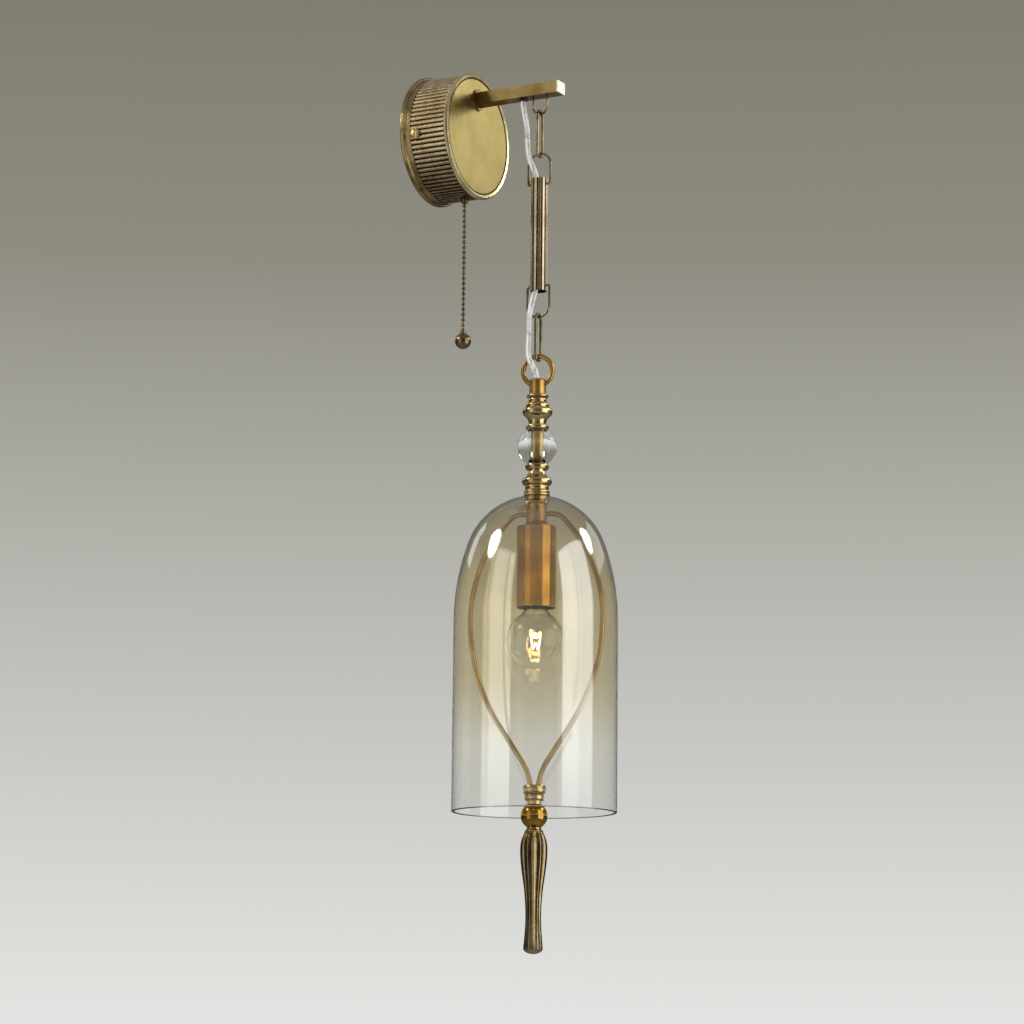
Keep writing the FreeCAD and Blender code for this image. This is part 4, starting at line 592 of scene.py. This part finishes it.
smoked_glass, tree, output, place = new_material("smoked_glass")
height = node(tree, "ShaderNodeSeparateXYZ", Vector=place).outputs[2]
share = node(tree, "ShaderNodeMapRange", Value=height, From_Min=SHADE_RIM, From_Max=SHADE_CROWN)
tint = node(
    tree,
    "ShaderNodeValToRGB",
    stops=((0.0, "#FFFFFF"), (0.2, "#FDFCF8"), (0.42, "#EBE4D1"), (0.7, "#E1D8C0"), (1.0, "#D6CEB8")),
    _0=share,
)
waves = node(tree, "ShaderNodeTexNoise", Vector=place, Scale=per_metre(SHADE_WAVE), Detail=1.0)
relief = node(tree, "ShaderNodeBump", Height=waves.outputs["Fac"], Strength=0.03, Distance=4 * MM)
glass = node(
    tree,
    "ShaderNodeBsdfPrincipled",
    Base_Color=tint,
    Roughness=0.0,
    Transmission_Weight=1.0,
    IOR=1.5,
    Normal=relief,
)
coating = node(
    tree,
    "ShaderNodeValToRGB",
    stops=((0.0, "#1E1F20"), (0.3, "#4B4D4F"), (0.7, "#606366")),
    _0=share,
)
sheen = node(tree, "ShaderNodeBsdfGlossy", Color=coating, Roughness=0.07)
polished = node(tree, "ShaderNodeAddShader", _0=glass, _1=sheen)
tree.links.new(polished.outputs[0], output.inputs[0])
smoke = node(tree, "ShaderNodeVolumeAbsorption", Color=SMOKE, Density=SMOKE_DENSITY)
tree.links.new(smoke.outputs[0], output.inputs[1])
dress(smoked_glass, "glass_shade")
dress(plain_material("seal_rubber", "#191918", "#101010", 0.7), "upper_gasket", "lower_gasket")


# ---------------------------------------------------------------- lampholder and bulb
# A black plastic lampholder with a brass screw shell, under a drawn brass cover, and a small round bulb of
# clear glass on a nickel-plated cap. The filament is a thin wire that glows.
FILAMENT_FOOT, FILAMENT_TOP = -420 * MM, -402 * MM  # heights

cover_brass = brass("cover_brass", "#DDB458", "#A87F36", "#53330F", 0.13, 0.03, lines=(1.0, 1.0, 0.03))
dress(cover_brass, "lampholder_cover")
dress(black_plastic, "lampholder_body")
dress(plain_brass, "lampholder_shell", "lampholder_contact")
dress(plain_material("nickel", "#D8D6D0", "#B9B6AE", 0.22, metallic=1.0), "bulb_cap")
dress(clear_glass("bulb_clear", "#F8FBFA", 1.45), "bulb_glass", "bulb_stem")

# The glow: warm, whitest at the middle of the wire.
glow, tree, output, place = new_material("glow")
height = node(tree, "ShaderNodeSeparateXYZ", Vector=place).outputs[2]
share = node(tree, "ShaderNodeMapRange", Value=height, From_Min=FILAMENT_FOOT, From_Max=FILAMENT_TOP)
heat = node(
    tree,
    "ShaderNodeValToRGB",
    stops=((0.0, "#FFD27A"), (0.5, "#FFE9B8"), (1.0, "#FFB347")),
    _0=share,
)
hot_wire = node(tree, "ShaderNodeEmission", Color=heat, Strength=18.0)
tree.links.new(hot_wire.outputs[0], output.inputs[0])
dress(glow, "bulb_filament")


# ---------------------------------------------------------------- frame
# Two bent brass wires that leave the neck of a brass hub, which sits under the lower gasket. They run down
# on both sides of the bulb and carry the finial.
wire_brass = brass("wire_brass", "#CBB07A", "#9F8452", "#4A3012", 0.22, 0.05)
dress(wire_brass, "frame_wire_left", "frame_wire_right")
dress(golden_brass, "frame_hub")


# ---------------------------------------------------------------- finial
# Under the frame, on a brass stud: a turned collar, ball and ring, and a long drop that is turned and then
# fluted from end to end. The flutes are dark with patina and painted shade, and fade towards the foot.
DROP_FOOT, DROP_LENGTH = 89.5, 93.7  # depths under the drop's top, in mm, where its end begins and is over
DROP_DEPTHS = [0.0, 2.5, 5.0, 9.0, 13.6, 22.0, 30.3, 45.5, 56.8, 68.1, 80.0, DROP_FOOT]
DROP_RADII = [6.0, 7.6, 8.8, 10.0, 10.5, 10.2, 9.3, 7.1, 6.15, 5.9, 6.6, 7.5]
FLUTES = 12
FLUTE_SHARES = ([0, 30, DROP_LENGTH], [0.1, 0.09, 0.035])  # depths in mm, and a flute's share of the radius
FLUTE_ENDS = 3  # mm over which the flutes run out at the top and at the end


def drop_radius(depth):
    """The drop's radius at a depth under its top, both in millimetres, along straight lines between the
    points of its turned profile: out to the belly, in to the waist and out to the foot."""
    return np.interp(depth, DROP_DEPTHS, DROP_RADII)


def fluted_drop(across=12, rings=150, end_rings=12, smooth=13):
    """The radius is R (1 - k (1 - (2u - 1)^2)), with u from 0 to 1 across a flute between two arrises and k
    from FLUTE_SHARES. R is the turned profile as a running mean over smooth rings, times the root of
    1 - e^2 at the round end, where e goes from 0 at the foot to 1."""
    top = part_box("finial_drop")[1][2] / MM
    end = DROP_FOOT + (DROP_LENGTH - DROP_FOOT) * np.sin(np.linspace(0.15, 1.5, end_rings))
    depths = np.concatenate([[0.0], np.linspace(0.15, DROP_FOOT, rings), end])
    turned = np.pad(drop_radius(np.minimum(depths, DROP_FOOT)), smooth // 2, mode="edge")
    ending = np.clip((depths - DROP_FOOT) / (DROP_LENGTH - DROP_FOOT), 0, 1)
    plain = np.convolve(turned, np.ones(smooth) / smooth, "valid") * np.sqrt(np.clip(1 - ending**2, 0, 1))
    columns = FLUTES * across
    turn = np.arange(columns) * 2 * math.pi / columns
    share = (np.arange(columns) % across) / across
    cut = 1 - (2 * share - 1) ** 2
    fade = np.clip(depths / FLUTE_ENDS, 0, 1) * np.clip((DROP_LENGTH - depths) / FLUTE_ENDS, 0, 1)
    groove = (fade * np.interp(depths, *FLUTE_SHARES))[:, None] * cut[None, :]
    radius = plain[:, None] * (1 - groove)
    heights = np.repeat((top - depths)[:, None], columns, axis=1)
    skin = np.stack(
        [radius * np.cos(turn) * MM, AXIS_Y + radius * np.sin(turn) * MM, heights * MM],
        axis=-1,
    )
    faces = [face[::-1] for face in tube_faces(len(depths), columns)]
    return add_piece("fluted_drop", skin, faces, "lantern", hollow=8 * groove)


def kept_hollow(tree, place):
    """The hollow that the drop's own vertices carry, where patina and painted shade darken the flutes: eight
    times the groove's share of the radius.
    """
    return node(tree, "ShaderNodeAttribute", attribute_name="hollow").outputs["Fac"]


drop = fluted_drop()
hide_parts("finial_drop")

# The drop: aged, grey-gold, with lines drawn out along it. The rest as the column's and the cover's brass.
aged_brass = brass(
    "aged_brass",
    "#CDB98E",
    "#9C8154",
    "#5A4526",
    0.22,
    0.06,
    hollow=kept_hollow,
    lines=(1.0, 1.0, 0.05),
)
dress(aged_brass, "fluted_drop")
dress(turned_brass, "finial_collar", "finial_ring")
dress(cover_brass, "finial_ball")
dress(plain_brass, "finial_stud")


# ---------------------------------------------------------------- pull switch
# A black plastic switch inside the drum, with a brass nut and ferrule. Its plunger carries a bead chain and
# a ball, all in darker brass. A coil of zinc-plated steel wire, which is pressed shorter, pushes it back.
chain_brass = brass("chain_brass", "#A3906A", "#6C5838", "#2A1C0C", 0.2, 0.05)
dress(chain_brass, "pull_chain_upper", "pull_chain_lower", "pull_ball", "pull_plunger", "pull_switch_ferrule")
dress(plain_brass, "pull_switch_nut")
dress(black_plastic, "pull_switch_body")


def coil_spring(turns=5, wire=0.25 * MM, sides=10, steps=40):
    """Round wire whose centre runs up a helix, x = a + r cos t and y = b + r sin t with z rising evenly in t,
    inside the solid that stands for the spring."""
    low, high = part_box("switch_spring")
    centre, rise = (low + high) / 2, high.z - low.z - 2 * wire
    reach = (high.x - low.x) / 2 - wire
    turn = np.linspace(0, 2 * math.pi * turns, turns * steps)
    out = np.stack([np.cos(turn), np.sin(turn), 0 * turn], axis=1)
    line = np.array(centre) + reach * out
    line[:, 2] = low.z + wire + rise * turn / turn[-1]
    downward = np.broadcast_to((0.0, 0.0, -1.0), line.shape)
    skin = round_tube(line, wire, out, downward, sides)
    piece = add_piece("coil_spring", skin, tube_faces(len(line), sides), None)
    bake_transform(piece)
    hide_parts("switch_spring")


coil_spring()
dress(zinc_steel, "coil_spring")


# ---------------------------------------------------------------- floor and background
# A pale painted floor far below the object, which nothing reflects. Camera rays, and rays through the
# glass, meet a backdrop from pale below to grey-olive above; reflections meet a dim room; and dull
# surfaces get a plain white light of their own.
FLOOR_LEVEL = -1.25
BACKDROP_RISE = (0.01, 0.324)  # the sine of a ray's rise where the backdrop's colours begin and end

bpy.ops.mesh.primitive_plane_add(size=14, location=(0, 0, FLOOR_LEVEL))
floor = bpy.context.object
floor.name = "floor"
dress(plain_material("floor_paint", "#E2E1DD", "#DEDDD9", 0.8, grain=33.3), "floor")
floor.visible_glossy = False

world = bpy.data.worlds.new("studio")
bpy.context.scene.world = world
world.use_nodes = True
tree = world.node_tree
tree.nodes.clear()
output = tree.nodes.new("ShaderNodeOutputWorld")
path = node(tree, "ShaderNodeLightPath")
way = node(tree, "ShaderNodeTexCoord").outputs["Generated"]
rise = node(tree, "ShaderNodeSeparateXYZ", Vector=way).outputs[2]

share = node(
    tree,
    "ShaderNodeMapRange",
    Value=rise,
    From_Min=BACKDROP_RISE[0],
    From_Max=BACKDROP_RISE[1],
)
backdrop = node(
    tree,
    "ShaderNodeValToRGB",
    stops=((0.0, "#E4E4E2"), (0.25, "#CBCAC6"), (0.5, "#AFAEA7"), (0.75, "#8F8D82"), (1.0, "#807D70")),
    _0=share,
)
seen = node(tree, "ShaderNodeBackground", Color=backdrop, Strength=1.0)
share = node(tree, "ShaderNodeMapRange", Value=rise, From_Min=-1.0)
room = node(
    tree,
    "ShaderNodeValToRGB",
    stops=((0.0, 0.36), (0.42, 0.14), (0.5, 0.05), (1.0, 0.4)),
    _0=share,
)
reflected = node(tree, "ShaderNodeBackground", Color=room, Strength=0.8)
for_dull = node(tree, "ShaderNodeBackground", Color=(1, 1, 1, 1), Strength=0.62)
looking = node(
    tree,
    "ShaderNodeMath",
    operation="MAXIMUM",
    _0=path.outputs["Is Camera Ray"],
    _1=path.outputs["Is Transmission Ray"],
)
sharp = node(tree, "ShaderNodeMixShader", _0=looking, _1=reflected, _2=seen)
every_ray = node(tree, "ShaderNodeMixShader", _0=path.outputs["Is Diffuse Ray"], _1=sharp, _2=for_dull)
tree.links.new(every_ray.outputs[0], output.inputs[0])
bpy.context.scene.view_settings.view_transform = "Standard"


# ---------------------------------------------------------------- light
# Soft lights round the lantern, three on the camera's side, two high at the sides and two behind, and a
# small warm light in the bulb. A row says how far the light is to the camera's right, up, and away from the
# camera, measured from the lantern's middle, then its width and height, all in metres, and its watts.
SOFTBOXES = (
    ("side_left", (-1.166, 0.2, -0.944), (0.86, 2.0), 3.1, "RECTANGLE"),
    ("side_right", (1.318, 0.2, -0.716), (1.37, 2.0), 14, "RECTANGLE"),
    ("centre_strip", (-0.56, 0.1, -1.39), (0.3, 1.6), 0.15, "RECTANGLE"),
    ("high_left", (-1.2, 0.9, -0.17), (0.45, 0.45), 3.0, "ELLIPSE"),
    ("high_right", (1.23, 0.77, 0.31), (0.42, 0.42), 2.4, "ELLIPSE"),
    ("back_right", (1.2, 0.58, 0.8), (0.9, 0.5), 1.15, "RECTANGLE"),
    ("back_left", (-1.1, 0.55, 0.9), (0.4, 0.5), 0.8, "RECTANGLE"),
)
LANTERN_MIDDLE = Vector((0, AXIS_Y, -300 * MM))
BULB_MIDDLE = Vector((0, AXIS_Y, -409.4 * MM))


def softbox(name, place, size, watts, shape):
    """A soft light that faces the lantern's middle."""
    aside, above, behind = place
    light = bpy.data.lights.new(name, "AREA")
    light.shape = shape
    light.size, light.size_y = size
    light.energy = watts
    lamp = bpy.data.objects.new(name, light)
    bpy.context.collection.objects.link(lamp)
    lamp.location = LANTERN_MIDDLE + right * aside + Vector((0, 0, above)) + forward * behind
    lamp.rotation_euler = (LANTERN_MIDDLE - lamp.location).to_track_quat("-Z", "Y").to_euler()


for box in SOFTBOXES:
    softbox(*box)
for name in ("back_right", "back_left"):  # behind the lantern, so kept out of what shows through its glass
    bpy.data.objects[name].visible_transmission = False

bulb_light = bpy.data.lights.new("bulb_light", "POINT")
bulb_light.energy = 0.35
bulb_light.color = linear("#FFC477")[:3]
bulb_light.shadow_soft_size = 8 * MM
bulb_lamp = bpy.data.objects.new("bulb_light", bulb_light)
bulb_lamp.location = BULB_MIDDLE
bulb_lamp.visible_camera = bulb_lamp.visible_glossy = bulb_lamp.visible_transmission = False
bpy.context.collection.objects.link(bulb_lamp)
